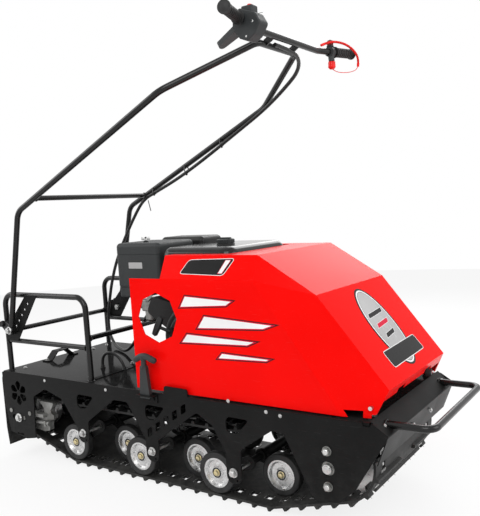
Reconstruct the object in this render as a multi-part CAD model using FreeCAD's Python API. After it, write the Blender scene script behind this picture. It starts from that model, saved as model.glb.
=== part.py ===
import FreeCAD, Part
import math
import os

V = FreeCAD.Vector

# Tracked snow towing vehicle, millimetres. +X forward, +Y to its left, +Z up.
# Origin: middle of the footprint box at ground level.

# ---- driving dimensions ------------------------------------------------------------
overall_length = 1840.0
plate_half_width = 305.0
plate_t = 5.0
plate_top_z = 369.0
sheet_t = 3.0
fit_gap = 0.3
run_gap = 0.05
part_gap = 2.0
tube_r = 11.0
rail_r = 10.0
bolt_r = 8.0
nut_r = 13.0
nut_h = 8.0

rear_x = -overall_length / 2.0
front_x = overall_length / 2.0
inside_y = plate_half_width - plate_t

# bogies: one hanging arm, one pivot tube and two pairs of rollers each
bogie_count = 3
bogie_pitch = 351.5
bogie_first_x = -440.0
bogie_pivot_z = 166.0
bogie_drop = 15.0
outer_roller_back = 115.0
inner_roller_ahead = 95.0
roller_z = 93.0
roller_r = 73.0
roller_width = 30.0
roller_rim_r = 53.0
roller_hub_r = 20.0
roller_axle_r = 8.0
roller_shoulder_r = 6.0
outer_roller_y = 235.0
inner_roller_y = 155.0
pivot_tube_r = 18.0
pivot_tube_half = 145.0
sleeve_r = 13.0
arm_t = 6.0
arm_root_r = 24.0
arm_tip_r = 15.0

# track loop
track_width = 500.0
belt_t = 8.0
lug_h = 11.0
lug_tip = 9.0
lug_root = 19.0
lug_notch = 60.0
lug_end = 34.0
drive_x = 608.0
drive_z = 212.0
drive_track_r = 141.0
idler_x = rear_x + 98.0
idler_z = 176.0
idler_track_r = 90.0
sag_x = 150.0
sag_r = 700.0
sprocket_teeth = 13
sprocket_y = 193.0
sprocket_t = 10.0
window_length = 28.0
window_width = 26.0
shaft_r = 15.0
axle_r = 9.5
idler_wheel_y = (50.0, 155.0)
idler_wheel_width = 30.0

# cargo hoops
rack_y = 279.0
rack_rear_x = rear_x + 45.0
rack_front_x = rear_x + 521.0
rack_top_z = 689.0
rack_mid_z = 497.0
rack_cross_z = 533.0
rack_bend_r = 48.0
brace_t = 4.0
brace_hole_r = 5.0
brace_holes = 5

# tow bracket
hitch_x = rear_x + 68.0
hitch_y = -40.0
hitch_width = 40.0
hitch_foot_y = 62.0
hitch_top_y = 27.0
hitch_h = 38.0
hitch_t = 5.0

# handle
handle_y = 311.0
handle_pivot_x = rear_x + 112.0
handle_pivot_z = 548.0
handle_knee_x = rear_x + 223.0
handle_knee_z = 1021.0
handle_upper_x = 64.0
handle_upper_z = 1376.0
handle_top_x = 325.0
handle_top_y = 121.0
handle_top_z = 1513.0
handle_cross_x = -594.0
handle_bend_r = 60.0
handle_eye_r = 20.0
bar_x = 360.0
bar_z = 1534.0
bar_bend_y = 218.0
bar_end_x = 404.0
bar_end_y = 410.0
bar_end_z = 1544.0
grip_r = 17.0
grip_length = 104.0
grip_end_r = 20.0

# hood
hood_side_y = 290.0
hood_t = 3.0
hood_bottom_z = 374.0
hood_shoulder_z = 767.0
hood_top_z = 844.0
hood_top_y = 253.0
hood_rear_x = -152.0
hood_step_x = -10.0
hood_fold_x = 366.0
hood_mid_x = 567.0
hood_mid_z = 723.0
hood_lip_x = 786.0
hood_lip_y = 248.0
hood_lip_z = 455.0
hood_lip_flange = 34.0
hood_corner_x = 745.0
hood_pin_x = 738.0
hood_pin_z = 404.0
hood_pin_r = 6.0
starter_hole_x = -34.0
starter_hole_z = 632.0
starter_hole_r = 87.0
tank_hole_x = 225.0
tank_hole_y = 205.0

# engine
crank_x = 33.0
crank_z = 540.0
engine_y0 = -130.0
engine_y1 = 150.0
engine_base_z = 405.0
cylinder_tilt = 25.0
fan_r = 122.0
fan_y0 = -200.0
head_end = 236.0
cover_end = 270.0


# ---- helpers -------------------------------------------------------------------------
def mirrored(shape):
    """The same shape on the other side of the middle plane."""
    return shape.mirror(V(0, 0, 0), V(0, 1, 0))


def both_sides(shape):
    """The shape and its mirror image, as one piece that doesn't touch."""
    return Part.makeCompound([shape, mirrored(shape)])


def rounded_wire(points, radii, closed=False):
    """Straight runs through the points, joined by tangent arcs."""
    count = len(points)
    ends = []
    for i in range(count):
        inner = closed or 0 < i < count - 1
        r = radii[i] if isinstance(radii, (list, tuple)) else radii
        p = points[i]
        if not inner or r <= 0:
            ends.append((p, None, p))
            continue
        a = (points[i - 1] - p).normalize()
        b = (points[(i + 1) % count] - p).normalize()
        angle = a.getAngle(b)
        if abs(math.pi - angle) < 1e-6:
            ends.append((p, None, p))
            continue
        reach = r / math.tan(angle / 2.0)
        bisector = (a + b).normalize()
        centre = p + bisector * (r / math.sin(angle / 2.0))
        ends.append((p + a * reach, centre - bisector * r, p + b * reach))
    edges = []
    last = count if closed else count - 1
    for i in range(count):
        start, middle, finish = ends[i]
        if middle is not None:
            edges.append(Part.Arc(start, middle, finish).toShape())
        if i < last:
            following = ends[(i + 1) % count][0]
            if finish.distanceToPoint(following) > 1e-4:
                edges.append(Part.LineSegment(finish, following).toShape())
    return Part.Wire(edges)


def plate_xz(corners, y, thickness):
    """A flat plate in an XZ plane; corners are (x, z, corner radius)."""
    points = [V(c[0], y, c[1]) for c in corners]
    face = Part.Face(rounded_wire(points, [c[2] for c in corners], closed=True))
    return face.extrude(V(0, thickness, 0))


def plate_xy(corners, z, thickness):
    """A flat plate in an XY plane; corners are (x, y, corner radius)."""
    points = [V(c[0], c[1], z) for c in corners]
    face = Part.Face(rounded_wire(points, [c[2] for c in corners], closed=True))
    return face.extrude(V(0, 0, thickness))


def plate_yz(corners, x, thickness):
    """A flat plate in a YZ plane; corners are (y, z, corner radius)."""
    points = [V(x, c[0], c[1]) for c in corners]
    face = Part.Face(rounded_wire(points, [c[2] for c in corners], closed=True))
    return face.extrude(V(thickness, 0, 0))


def box_corners(x0, x1, y0, y1, r):
    """The four corners of a rectangle, all rounded alike."""
    return [(x0, y0, r), (x1, y0, r), (x1, y1, r), (x0, y1, r)]


def strip_outline(points, radius, t):
    """Corners (u, v, corner radius) of a strip of thickness t bent along the points."""
    count = len(points)
    normals = []
    for i in range(count - 1):
        du, dv = points[i + 1][0] - points[i][0], points[i + 1][1] - points[i][1]
        run = math.hypot(du, dv)
        normals.append((-dv / run, du / run))
    upper, lower = [], []
    for i, (u, v) in enumerate(points):
        n0 = normals[max(i - 1, 0)]
        n1 = normals[min(i, count - 2)]
        spread = 1.0 + n0[0] * n1[0] + n0[1] * n1[1]
        mu, mv = (n0[0] + n1[0]) / spread * t / 2.0, (n0[1] + n1[1]) / spread * t / 2.0
        left_turn = n0[0] * n1[1] - n0[1] * n1[0]
        bend = radius if 0 < i < count - 1 else 0.0
        grow = t / 2.0 if left_turn < 0 else -t / 2.0
        upper.append((u + mu, v + mv, bend + grow if bend else 0.0))
        lower.append((u - mu, v - mv, bend - grow if bend else 0.0))
    return upper + lower[::-1]


def bent_sheet(points, radius, t, width):
    """A sheet of thickness t across the machine, bent along XZ points."""
    return plate_xz(strip_outline(points, radius, t), -width / 2.0, width)


def tube(points, radii, r):
    """A round bar or tube along a path with bends."""
    path = rounded_wire(points, radii)
    ring = Part.Wire(Part.makeCircle(r, points[0], points[1] - points[0]))
    return path.makePipeShell([ring], True, False)


def disc(r, thickness, x, y, z):
    """A round disc or rod along Y, from y onwards."""
    return Part.makeCylinder(r, thickness, V(x, y, z), V(0, 1, 0))


def rod(r, p, q):
    """A round bar from p to q."""
    return Part.makeCylinder(r, (q - p).Length, p, q - p)


def block(x0, x1, y0, y1, z0, z1):
    """A box between opposite corners."""
    return Part.makeBox(x1 - x0, y1 - y0, z1 - z0, V(x0, y0, z0))


def soft_block(x0, x1, y0, y1, z0, z1, r):
    """A box with every edge rounded."""
    body = block(x0, x1, y0, y1, z0, z1)
    return body.makeFillet(r, body.Edges)


def turned(profile, x, z):
    """A solid turned about a Y line; profile is (radius, y, corner radius)."""
    points = [V(x + p[0], p[1], z) for p in profile]
    face = Part.Face(rounded_wire(points, [p[2] for p in profile], closed=True))
    return face.revolve(V(x, 0, z), V(0, 1, 0), 360)


def turned_z(profile, x, y):
    """A solid turned about a Z line; profile is (radius, z, corner radius)."""
    points = [V(x + p[0], y, p[1]) for p in profile]
    face = Part.Face(rounded_wire(points, [p[2] for p in profile], closed=True))
    return face.revolve(V(x, y, 0), V(0, 0, 1), 360)


def link(x0, z0, r0, x1, z1, r1, y, t):
    """A flat bar with round ends of two sizes and tangent sides."""
    d = math.hypot(x1 - x0, z1 - z0)
    along = math.atan2(z1 - z0, x1 - x0)
    open_angle = math.acos((r0 - r1) / d)
    sides = []
    for s in (1, -1):
        a = along + s * open_angle
        sides.append([V(x0 + r0 * math.cos(a), y, z0 + r0 * math.sin(a)),
                      V(x1 + r1 * math.cos(a), y, z1 + r1 * math.sin(a))])
    back = V(x0 - r0 * math.cos(along), y, z0 - r0 * math.sin(along))
    tip = V(x1 + r1 * math.cos(along), y, z1 + r1 * math.sin(along))
    edges = [Part.LineSegment(sides[0][0], sides[0][1]), Part.Arc(sides[0][1], tip, sides[1][1]),
             Part.LineSegment(sides[1][1], sides[1][0]), Part.Arc(sides[1][0], back, sides[0][0])]
    face = Part.Face(Part.Wire([e.toShape() for e in edges]))
    return face.extrude(V(0, t, 0))


def hexagon(r, thickness, x, y, z):
    """A hexagonal nut or bolt head along Y; r is to its corners."""
    corners = []
    for k in range(6):
        a = math.radians(60.0 * k)
        corners.append((x + r * math.cos(a), z + r * math.sin(a), 0))
    return plate_xz(corners, y, thickness)


def ring_of(shape, x, z, count):
    """Copies of a shape turned evenly about a Y line."""
    copies = []
    for k in range(count):
        copy = shape.copy()
        copy.rotate(V(x, 0, z), V(0, 1, 0), 360.0 * k / count)
        copies.append(copy)
    return copies


def bogie_x(i):
    return bogie_first_x + i * bogie_pitch


def bogie_z(i):
    return bogie_pivot_z - i * bogie_drop


# ---- side plates ---------------------------------------------------------------------
hanging_rear = 28.0
hanging_front = 31.0
hanging_low = 38.0
hanging_r = 28.0
plate_notch = 24.0
plate_notch_h = 10.0
tab_x0 = -17.0
tab_x1 = 87.0
tab_h = 28.0
arm_slot_count = 5
arm_slot_w = 22.0
arm_slot_h = 30.0


def teardrop(x, z, y0, depth):
    """A small teardrop lightening hole."""
    corners = [(x - 42, z - 30, 20), (x - 40, z + 26, 18), (x + 50, z + 24, 5), (x + 6, z - 26, 18)]
    return plate_xz(corners, y0, depth)


def petal_holes(y0, depth):
    """Six petals cut round one point at the rear of the plate."""
    cx, cz = rear_x + 108, 282.0
    petal = plate_xz([(cx - 5, cz + 12, 3), (cx - 17, cz + 38, 10), (cx, cz + 57, 12),
                      (cx + 17, cz + 38, 10), (cx + 5, cz + 12, 3)], y0, depth)
    return ring_of(petal, cx, cz, 6)


def arm_slots(y0, depth):
    """A row of plain slanted slots up the middle arm."""
    x0, z0 = bogie_x(1) - 5, 222.0
    x1, z1 = bogie_x(1) + 155, 325.0
    slope = (z1 - z0) / (x1 - x0)
    w, h = arm_slot_w / 2.0, arm_slot_h / 2.0
    slots = []
    for k in range(arm_slot_count):
        x = x0 + (x1 - x0) * k / (arm_slot_count - 1)
        z = z0 + (z1 - z0) * k / (arm_slot_count - 1)
        corners = [(x - w, z - h - slope * w, 3), (x - w, z + h - slope * w, 3),
                   (x + w, z + h + slope * w, 3), (x + w, z - h + slope * w, 3)]
        slots.append(plate_xz(corners, y0, depth))
    return slots


def hanging_arm(i):
    """The round end of one hanging arm, from its rear edge to its front edge."""
    x, z = bogie_x(i), bogie_z(i) - hanging_low
    return [(x - hanging_rear, z, hanging_r), (x + hanging_front, z, hanging_r)]


def plate_outline():
    """Outer edge with its three hanging arms, the windows between them, the nose and the hood tab."""
    top = plate_top_z
    rear, front = hanging_rear, hanging_front
    x1, x2, x3 = bogie_x(0), bogie_x(1), bogie_x(2)
    corners = [(rear_x + 23, top, 8), (rear_x + 8, 335, 20), (rear_x + 8, 255, 60), (rear_x + 35, 110, 12),
               (rear_x + 134, 91, 12), (rear_x + 191, 102, 3), (rear_x + 202, 278, 12),
               (rear_x + 275, 316, 20), (x1 - 106, 287, 20), (x1 - rear, 180, 12)]
    corners += hanging_arm(0)
    corners += [(x1 + front, 215, 16), (x1 + 177, 318, 20), (x2 - 106, 318, 20), (x2 - rear, 194, 12)]
    corners += hanging_arm(1)
    corners += [(x2 + front, 197, 12), (x3 - 140, 320, 16), (x3 - 76, 284, 16), (x3 - rear, 200, 12)]
    corners += hanging_arm(2)
    corners += [(x3 + front, 218, 12), (x3 + 155, 300, 14), (x3 + 196, 300, 14), (x3 + 297, 104, 6)]
    corners += [(drive_x + 35, 112, 20), (drive_x + 88, 163, 20),
                (front_x - 116, 339, 6), (front_x - 164, top, 10),
                (front_x - 169, top, 0), (front_x - 173, top - plate_notch_h, 3),
                (front_x - 169 - plate_notch, top - plate_notch_h, 3), (front_x - 173 - plate_notch, top, 0),
                (tab_x1 + 2, top, 2), (tab_x1, top + tab_h - 2, 8), (tab_x0 + 4, top + tab_h, 8),
                (tab_x0, top, 2)]
    return corners


def make_side_plate():
    """The right side plate with its hanging arms."""
    y0 = -plate_half_width
    deep = plate_t + 2.0
    plate = plate_xz(plate_outline(), y0, plate_t)
    cuts = petal_holes(y0 - 1, deep) + arm_slots(y0 - 1, deep)
    for i in range(bogie_count):
        x, z = bogie_x(i), bogie_z(i)
        cuts.append(teardrop(x + 20, 292 + 3 * i, y0 - 1, deep))
        cuts.append(disc(bolt_r + run_gap, deep, x, y0 - 1, z))
        cuts.append(disc(4.0, deep, x + 14, y0 - 1, z - 26))
    slot_r = axle_r + fit_gap
    cuts.append(link(idler_x - 34, idler_z, slot_r, idler_x + 34, idler_z, slot_r - 0.01, y0 - 1, deep))
    cuts.append(disc(shaft_r + 7, deep, drive_x, y0 - 1, drive_z))
    for dz in (-bearing_bolt_z, bearing_bolt_z):
        cuts.append(disc(bolt_r + run_gap, deep, drive_x, y0 - 1, drive_z + dz))
    cuts.append(plate_xz([(idler_x - 22, 103, 3), (idler_x - 22, 110, 3), (idler_x + 22, 110, 3),
                          (idler_x + 22, 103, 3)], y0 - 1, deep))
    for bolt_x in carrier_bolts():
        cuts.append(disc(carrier_bolt_r + run_gap, deep, bolt_x, y0 - 1, carrier_bolt_z))
    for cut in cuts:
        plate = plate.cut(cut)
    return plate


# ---- sheet parts between the plates -----------------------------------------------------
deck_lip = 14.0
deck_rear_x = rear_x + 28.0
deck_seam_x = -420.0
cover_rear_x = front_x - 174.0
cover_edge_x = front_x - 122.0


def make_deck():
    """Rear deck and engine floor in one sheet with turned-down edges and a cross seam."""
    inner = inside_y - fit_gap
    x0, x1 = deck_rear_x, cover_rear_x - part_gap
    top = block(x0, x1, -inner, inner, plate_top_z - sheet_t, plate_top_z)
    for side in (-1, 1):
        y = side * (inner - sheet_t / 2.0)
        top = top.fuse(block(x0, x1, y - sheet_t / 2.0, y + sheet_t / 2.0, plate_top_z - deck_lip,
                             plate_top_z - sheet_t))
    seam = block(deck_seam_x, deck_seam_x + 26, -inner + 40, inner - 40, plate_top_z,
                 plate_top_z + sheet_t)
    return top.fuse(seam).removeSplitter()


def make_front_cover():
    """Folded cover across the nose, with a step for the hood and a sloping toe board."""
    inner = inside_y - fit_gap
    points = [(cover_rear_x, plate_top_z + 6), (cover_edge_x, 334), (cover_edge_x - 34, 246)]
    return bent_sheet(points, 4.0, sheet_t, 2.0 * inner)


def make_bumper(cover):
    """U-shaped front bumper tube."""
    x0, x1, y, z = front_x - 154, front_x - tube_r, 241.0, 353.0
    bar = tube([V(x0, -y, z), V(x1, -y, z), V(x1, y, z), V(x0, y, z)], 34.0, tube_r)
    bar = bar.cut(cover)
    return max(bar.Solids, key=lambda s: s.BoundBox.XMax)


def make_rear_panel():
    """Snow flap across the back, hung from the deck's edge."""
    inner = inside_y - fit_gap
    x = rear_x + sheet_t / 2.0
    points = [(deck_rear_x, plate_top_z - sheet_t / 2.0), (rear_x + 16, plate_top_z - sheet_t / 2.0),
              (x, 322), (x, 120), (x + 9, 45)]
    return bent_sheet(points, 12.0, sheet_t, 2.0 * inner)


# ---- track -----------------------------------------------------------------------------
def loop_circles():
    """Centre and signed radius of each wrap, in running order; a minus radius bends inwards."""
    flat_rear_x = bogie_x(0) - outer_roller_back
    flat_front_x = bogie_x(bogie_count - 1) + inner_roller_ahead
    wrap_r = roller_z
    top_z = idler_z + idler_track_r
    return [(idler_x, idler_z, idler_track_r), (flat_rear_x, wrap_r, wrap_r),
            (flat_front_x, wrap_r, wrap_r), (drive_x, drive_z, drive_track_r),
            (sag_x, top_z + sag_r, -sag_r)]


def belt_wire(offset):
    """The loop's outline, grown by offset, as tangent lines and arcs."""
    circles = loop_circles()
    runs = []
    for i in range(len(circles)):
        x0, z0, r0 = circles[i]
        x1, z1, r1 = circles[(i + 1) % len(circles)]
        r0, r1 = r0 + offset, r1 + offset
        along = math.atan2(z1 - z0, x1 - x0)
        turn = along - math.acos((r0 - r1) / math.hypot(x1 - x0, z1 - z0))
        n = (math.cos(turn), math.sin(turn))
        runs.append((V(x0 + n[0] * r0, 0, z0 + n[1] * r0), V(x1 + n[0] * r1, 0, z1 + n[1] * r1), turn))
    edges = []
    for i in range(len(circles)):
        start, finish, turn = runs[i]
        following = runs[(i + 1) % len(circles)]
        x, z, r = circles[(i + 1) % len(circles)]
        edges.append(Part.LineSegment(start, finish).toShape())
        sweep = (following[2] - turn + math.pi) % (2 * math.pi) - math.pi
        if r > 0 and sweep < 0:
            sweep += 2 * math.pi
        middle = turn + sweep / 2.0
        r += offset
        edges.append(Part.Arc(finish, V(x + r * math.cos(middle), 0, z + r * math.sin(middle)),
                              following[0]).toShape())
    return Part.Wire(edges)


def belt_pitches():
    """Points and directions along the belt's middle line, one a lug, from one tooth window on."""
    pitch = 2 * math.pi * (drive_track_r - lug_h - belt_t / 2.0) / sprocket_teeth
    path = belt_wire(-lug_h - belt_t / 2.0)
    count = int(round(path.Length / pitch))
    fine = 10
    points = path.discretize(Number=count * fine + 1)
    lugs = [(points[k * fine], (points[k * fine + 1] - points[k * fine]).normalize())
            for k in range(count)]
    half = fine // 2
    windows = [(points[k * fine + half], (points[k * fine + half + 1] - points[k * fine + half]).normalize())
               for k in range(count)]
    return lugs, windows


def prism_on_belt(place, profile, y0, width):
    """A bar across the belt; profile is (along, outwards) from the belt's middle line."""
    p, along = place
    out = V(along.z, 0, -along.x)
    corners = [p + along * a + out * b + V(0, y0, 0) for a, b in profile]
    return Part.Face(Part.makePolygon(corners + [corners[0]])).extrude(V(0, width, 0))


def make_track():
    """One closed belt with cross lugs and two rows of sprocket windows."""
    half = track_width / 2.0
    outer = Part.Face(belt_wire(-lug_h))
    belt = outer.cut(Part.Face(belt_wire(-lug_h - belt_t))).extrude(V(0, track_width, 0))
    belt.translate(V(0, -half, 0))
    lugs, windows = belt_pitches()
    tip = belt_t / 2.0 + lug_h - fit_gap
    tooth = [(-lug_root / 2, 0), (-lug_tip / 2, tip), (lug_tip / 2, tip), (lug_root / 2, 0)]
    bars = []
    for k, place in enumerate(lugs):
        if k % 2:
            bars.append(prism_on_belt(place, tooth, -half, half - lug_notch))
            bars.append(prism_on_belt(place, tooth, lug_notch, half - lug_notch))
        else:
            bars.append(prism_on_belt(place, tooth, -half + lug_notch, track_width - 2 * lug_notch))
            bars.append(prism_on_belt(place, tooth, -half, lug_end))
            bars.append(prism_on_belt(place, tooth, half - lug_end, lug_end))
    w = window_length / 2.0
    hole = [(-w, -belt_t), (-w, belt_t), (w, belt_t), (w, -belt_t)]
    holes = [prism_on_belt(place, hole, side * sprocket_y - window_width / 2.0, window_width)
             for place in windows for side in (-1, 1)]
    return belt.multiFuse(bars).cut(Part.makeCompound(holes))


# ---- running gear ----------------------------------------------------------------------
bearing_bolt_z = 55.0
bearing_ring_r = 30.0
carrier_bolt_r = 5.0
carrier_bolt_z = 203.0
carrier_y = inside_y - 44.0


def roller_places():
    """x, y of every roller's middle."""
    places = []
    for i in range(bogie_count):
        for side in (-1, 1):
            places.append((bogie_x(i) - outer_roller_back, side * outer_roller_y))
            places.append((bogie_x(i) + inner_roller_ahead, side * inner_roller_y))
    return places


def make_roller_tyres():
    """Rubber rings with round shoulders."""
    h = roller_width / 2.0
    shapes = []
    for x, y in roller_places():
        ring = [(roller_rim_r, y - h, 0), (roller_r, y - h, roller_shoulder_r),
                (roller_r, y + h, roller_shoulder_r), (roller_rim_r, y + h, 0)]
        shapes.append(turned(ring, x, roller_z))
    return Part.makeCompound(shapes)


def make_roller_discs():
    """Dished discs with five pockets round the hub, dish outwards."""
    h = roller_width / 2.0 - 2
    floor = h - 10
    profile = [(roller_axle_r, -h, 0), (roller_rim_r, -h, 0), (roller_rim_r, h, 0), (roller_rim_r - 6, h, 0),
               (roller_rim_r - 12, floor, 0), (roller_hub_r + 4, floor, 0), (roller_hub_r, h - 2, 0),
               (roller_axle_r, h - 2, 0)]
    pocket_r = (roller_rim_r + roller_hub_r) / 2.0 - 2.0
    shapes = []
    for x, y in roller_places():
        s = 1 if y > 0 else -1
        wheel = turned([(r, y + s * w, c) for r, w, c in profile], x, roller_z)
        y_floor = y + s * floor
        pocket = disc(5.0, 4.0, x, y_floor - 2.0, roller_z + pocket_r)
        shapes.append(wheel.cut(Part.makeCompound(ring_of(pocket, x, roller_z, 5))))
    return Part.makeCompound(shapes)


def swing_arm(px, pz, x, y, side):
    """One tapered arm with the spindle that its roller turns on."""
    y_in = y - roller_width / 2.0 - 4 - arm_t
    arm = link(px, pz, arm_root_r, x, roller_z, arm_tip_r, y_in, arm_t)
    arm = arm.fuse(disc(roller_axle_r, roller_width + 8, x, y_in + arm_t - 1, roller_z))
    arm = arm.fuse(disc(roller_hub_r - 4, 4, x, y_in + arm_t, roller_z))
    return arm if side > 0 else mirrored(arm)


def make_bogie_arms():
    """Three pivot tubes, each with four arms that hold the rollers' spindles."""
    sleeve_end = outer_roller_y - roller_width / 2.0 - 4
    bodies = []
    for i in range(bogie_count):
        px, pz = bogie_x(i), bogie_z(i)
        body = disc(pivot_tube_r, 2 * pivot_tube_half, px, -pivot_tube_half, pz)
        body = body.fuse(disc(sleeve_r, 2 * sleeve_end, px, -sleeve_end, pz))
        for side in (-1, 1):
            body = body.fuse(swing_arm(px, pz, px - outer_roller_back, outer_roller_y, side))
            body = body.fuse(swing_arm(px, pz, px + inner_roller_ahead, inner_roller_y, side))
            collar_y = side * (pivot_tube_half - 5) - 5
            body = body.fuse(disc(pivot_tube_r + 3, 10, px, collar_y, pz))
        bodies.append(body.cut(disc(bolt_r, 2 * plate_half_width, px, -plate_half_width, pz)))
    return Part.makeCompound(bodies)


def make_bogie_pins():
    """Through rods with a washer and a nut outside each plate."""
    pins = []
    for i in range(bogie_count):
        x, z = bogie_x(i), bogie_z(i)
        reach = plate_half_width + 15
        pin = disc(bolt_r - run_gap, 2 * reach, x, -reach, z)
        for side in (-1, 1):
            washer_y = plate_half_width if side > 0 else -plate_half_width - 2
            nut_y = plate_half_width + 2 if side > 0 else -plate_half_width - 2 - nut_h
            pin = pin.fuse(disc(nut_r + 3, 2, x, washer_y, z)).fuse(hexagon(nut_r, nut_h, x, nut_y, z))
        pins.append(pin)
    return Part.makeCompound(pins)


def sprocket(phase, y):
    """A toothed disc whose teeth stand in the belt's windows."""
    belt_in_r = drive_track_r - lug_h - belt_t
    root_r, tip_r = belt_in_r - 14.0, belt_in_r + belt_t - 1.0
    corners = []
    for k in range(sprocket_teeth):
        a = phase + 2 * math.pi * k / sprocket_teeth
        for r, half, soft in ((root_r, 11.0, 5.0), (belt_in_r, 7.5, 0.0), (tip_r, 4.5, 3.0)):
            corners.append((a - half / r, r, soft))
        for r, half, soft in ((tip_r, 4.5, 3.0), (belt_in_r, 7.5, 0.0), (root_r, 11.0, 5.0)):
            corners.append((a + half / r, r, soft))
    outline = [(drive_x + r * math.cos(a), drive_z + r * math.sin(a), soft) for a, r, soft in corners]
    wheel = plate_xz(outline, y - sprocket_t / 2.0, sprocket_t)
    hole = disc(15.0, sprocket_t + 4, drive_x, y - sprocket_t / 2.0 - 2, drive_z + 62)
    return wheel.cut(Part.makeCompound(ring_of(hole, drive_x, drive_z, 6)))


def make_drive_axle():
    """Drive shaft with two sprockets in mesh with the belt, and its end nuts."""
    windows = [p for p, along in belt_pitches()[1]]
    nearest = min(windows, key=lambda p: p.distanceToPoint(V(drive_x + drive_track_r, 0, drive_z)))
    phase = math.atan2(nearest.z - drive_z, nearest.x - drive_x)
    reach = plate_half_width + 6
    shaft = disc(shaft_r, 2 * reach, drive_x, -reach, drive_z)
    for side in (-1, 1):
        y = side * sprocket_y
        shaft = shaft.fuse(sprocket(phase, y)).fuse(disc(shaft_r + 10, 26, drive_x, y - 13, drive_z))
        nut_y = reach if side > 0 else -reach - 4
        shaft = shaft.fuse(disc(shaft_r - 4, 4, drive_x, nut_y, drive_z))
    return shaft


def make_drive_bearings():
    """Flange bearings inside both plates, with their two bolts through the plate."""
    y = -inside_y
    flange = link(drive_x, drive_z, bearing_ring_r + 10, drive_x, drive_z + bearing_bolt_z, 15, y, 7)
    flange = flange.fuse(link(drive_x, drive_z, bearing_ring_r + 10, drive_x, drive_z - bearing_bolt_z, 15, y, 7))
    body = flange.fuse(disc(bearing_ring_r, 20, drive_x, y, drive_z))
    for dz in (-bearing_bolt_z, bearing_bolt_z):
        z = drive_z + dz
        body = body.fuse(disc(bolt_r, plate_t + 4, drive_x, y - plate_t - 2, z))
        body = body.fuse(disc(nut_r + 2, 2, drive_x, y - plate_t - 2, z))
        body = body.fuse(hexagon(nut_r, nut_h, drive_x, y - plate_t - 2 - nut_h, z))
    return both_sides(body.cut(disc(shaft_r + fit_gap, 60, drive_x, y - 20, drive_z)))


def make_idler():
    """Rear axle with four idler wheels, clamped in the plates' slots."""
    reach = plate_half_width + 8
    shaft = disc(axle_r, 2 * reach, idler_x, -reach, idler_z)
    r = idler_track_r - lug_h - belt_t - 0.5
    h = idler_wheel_width / 2.0
    for at in idler_wheel_y:
        for y in (-at, at):
            ring = [(axle_r - 1, y - h, 0), (axle_r + 12, y - h, 0), (axle_r + 14, y - 5, 0),
                    (r - 14, y - 5, 0), (r - 10, y - h, 0), (r, y - h, 0), (r, y + h, 0),
                    (r - 10, y + h, 0), (r - 14, y + 5, 0), (axle_r + 14, y + 5, 0),
                    (axle_r + 12, y + h, 0), (axle_r - 1, y + h, 0)]
            shaft = shaft.fuse(turned(ring, idler_x, idler_z))
    for side in (-1, 1):
        washer_y = plate_half_width if side > 0 else -plate_half_width - 3
        nut_y = plate_half_width + 3 if side > 0 else -plate_half_width - 3 - nut_h
        shaft = shaft.fuse(disc(nut_r + 5, 3, idler_x, washer_y, idler_z))
        shaft = shaft.fuse(hexagon(nut_r + 1, nut_h, idler_x, nut_y, idler_z))
    return shaft


def carrier_bolts():
    """x of the two bolts that hold each axle carrier to its plate."""
    return (idler_x - 46.0, rear_x + 170.0)


def make_tensioners():
    """Cast carriers inside the plates: an eye on the rear axle, a waisted post and a pull bolt."""
    y0, t = -inside_y, inside_y - carrier_y
    x0 = rear_x + 160.0
    eye = disc(30, t, idler_x, y0, idler_z)
    rail = plate_xz([(idler_x - 56, 190, 6), (idler_x - 56, 218, 6), (x0 + 40, 218, 6), (x0 + 40, 190, 6)],
                    y0, 8)
    web = plate_xz([(idler_x - 20, 196, 0), (x0 + 10, 192, 0), (x0 + 10, 150, 0), (idler_x + 6, 150, 0)],
                   y0 + 24, 10)
    post = plate_xz([(x0 + 34, 252, 4), (x0 + 126, 252, 4), (x0 + 112, 230, 10), (x0 + 96, 212, 14),
                     (x0 + 124, 200, 4), (x0 + 120, 184, 5), (x0 + 92, 174, 5), (x0 + 92, 134, 8),
                     (x0 + 60, 126, 12), (x0 - 2, 134, 8), (x0 - 2, 186, 6), (x0 + 46, 192, 10),
                     (x0 + 70, 212, 14), (x0 + 56, 236, 8)], y0 + 22, t - 22)
    shelf = plate_xz([(x0 + 20, 190, 3), (x0 + 20, 204, 3), (x0 + 80, 204, 3), (x0 + 80, 190, 3)],
                     y0 + 4, t - 10)
    body = eye.fuse(rail).fuse(web).fuse(post).fuse(shelf)
    pull_y, pull_z = y0 + 13, 166.0
    for x in (x0 + 2, x0 + 78):
        body = body.fuse(block(x, x + 10, y0 + 4, y0 + t - 8, pull_z - 11, pull_z + 11))
    body = body.fuse(rod(6.5, V(x0 - 8, pull_y, pull_z), V(x0 + 104, pull_y, pull_z)))
    for x in (x0 - 16, x0 + 96):
        body = body.fuse(rod(10.5, V(x, pull_y, pull_z), V(x + 9, pull_y, pull_z)))
    for x in carrier_bolts():
        body = body.fuse(disc(carrier_bolt_r, plate_t + 4, x, y0 - plate_t - 2, carrier_bolt_z))
        body = body.fuse(disc(9.0, 3, x, y0 - plate_t - 3, carrier_bolt_z))
    return both_sides(body.cut(disc(axle_r + fit_gap, t + 20, idler_x, y0 - 10, idler_z)))


# ---- cargo hoops and braces ---------------------------------------------------------------
def make_rack_side():
    """Right hoop with its middle rail let in between the legs."""
    z0 = plate_top_z
    hoop = tube([V(rack_rear_x, -rack_y, z0), V(rack_rear_x, -rack_y, rack_top_z),
                 V(rack_front_x, -rack_y, rack_top_z), V(rack_front_x, -rack_y, z0)], rack_bend_r, tube_r)
    rail = rod(rail_r, V(rack_rear_x, -rack_y, rack_mid_z), V(rack_front_x, -rack_y, rack_mid_z))
    return hoop.fuse(rail)


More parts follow.
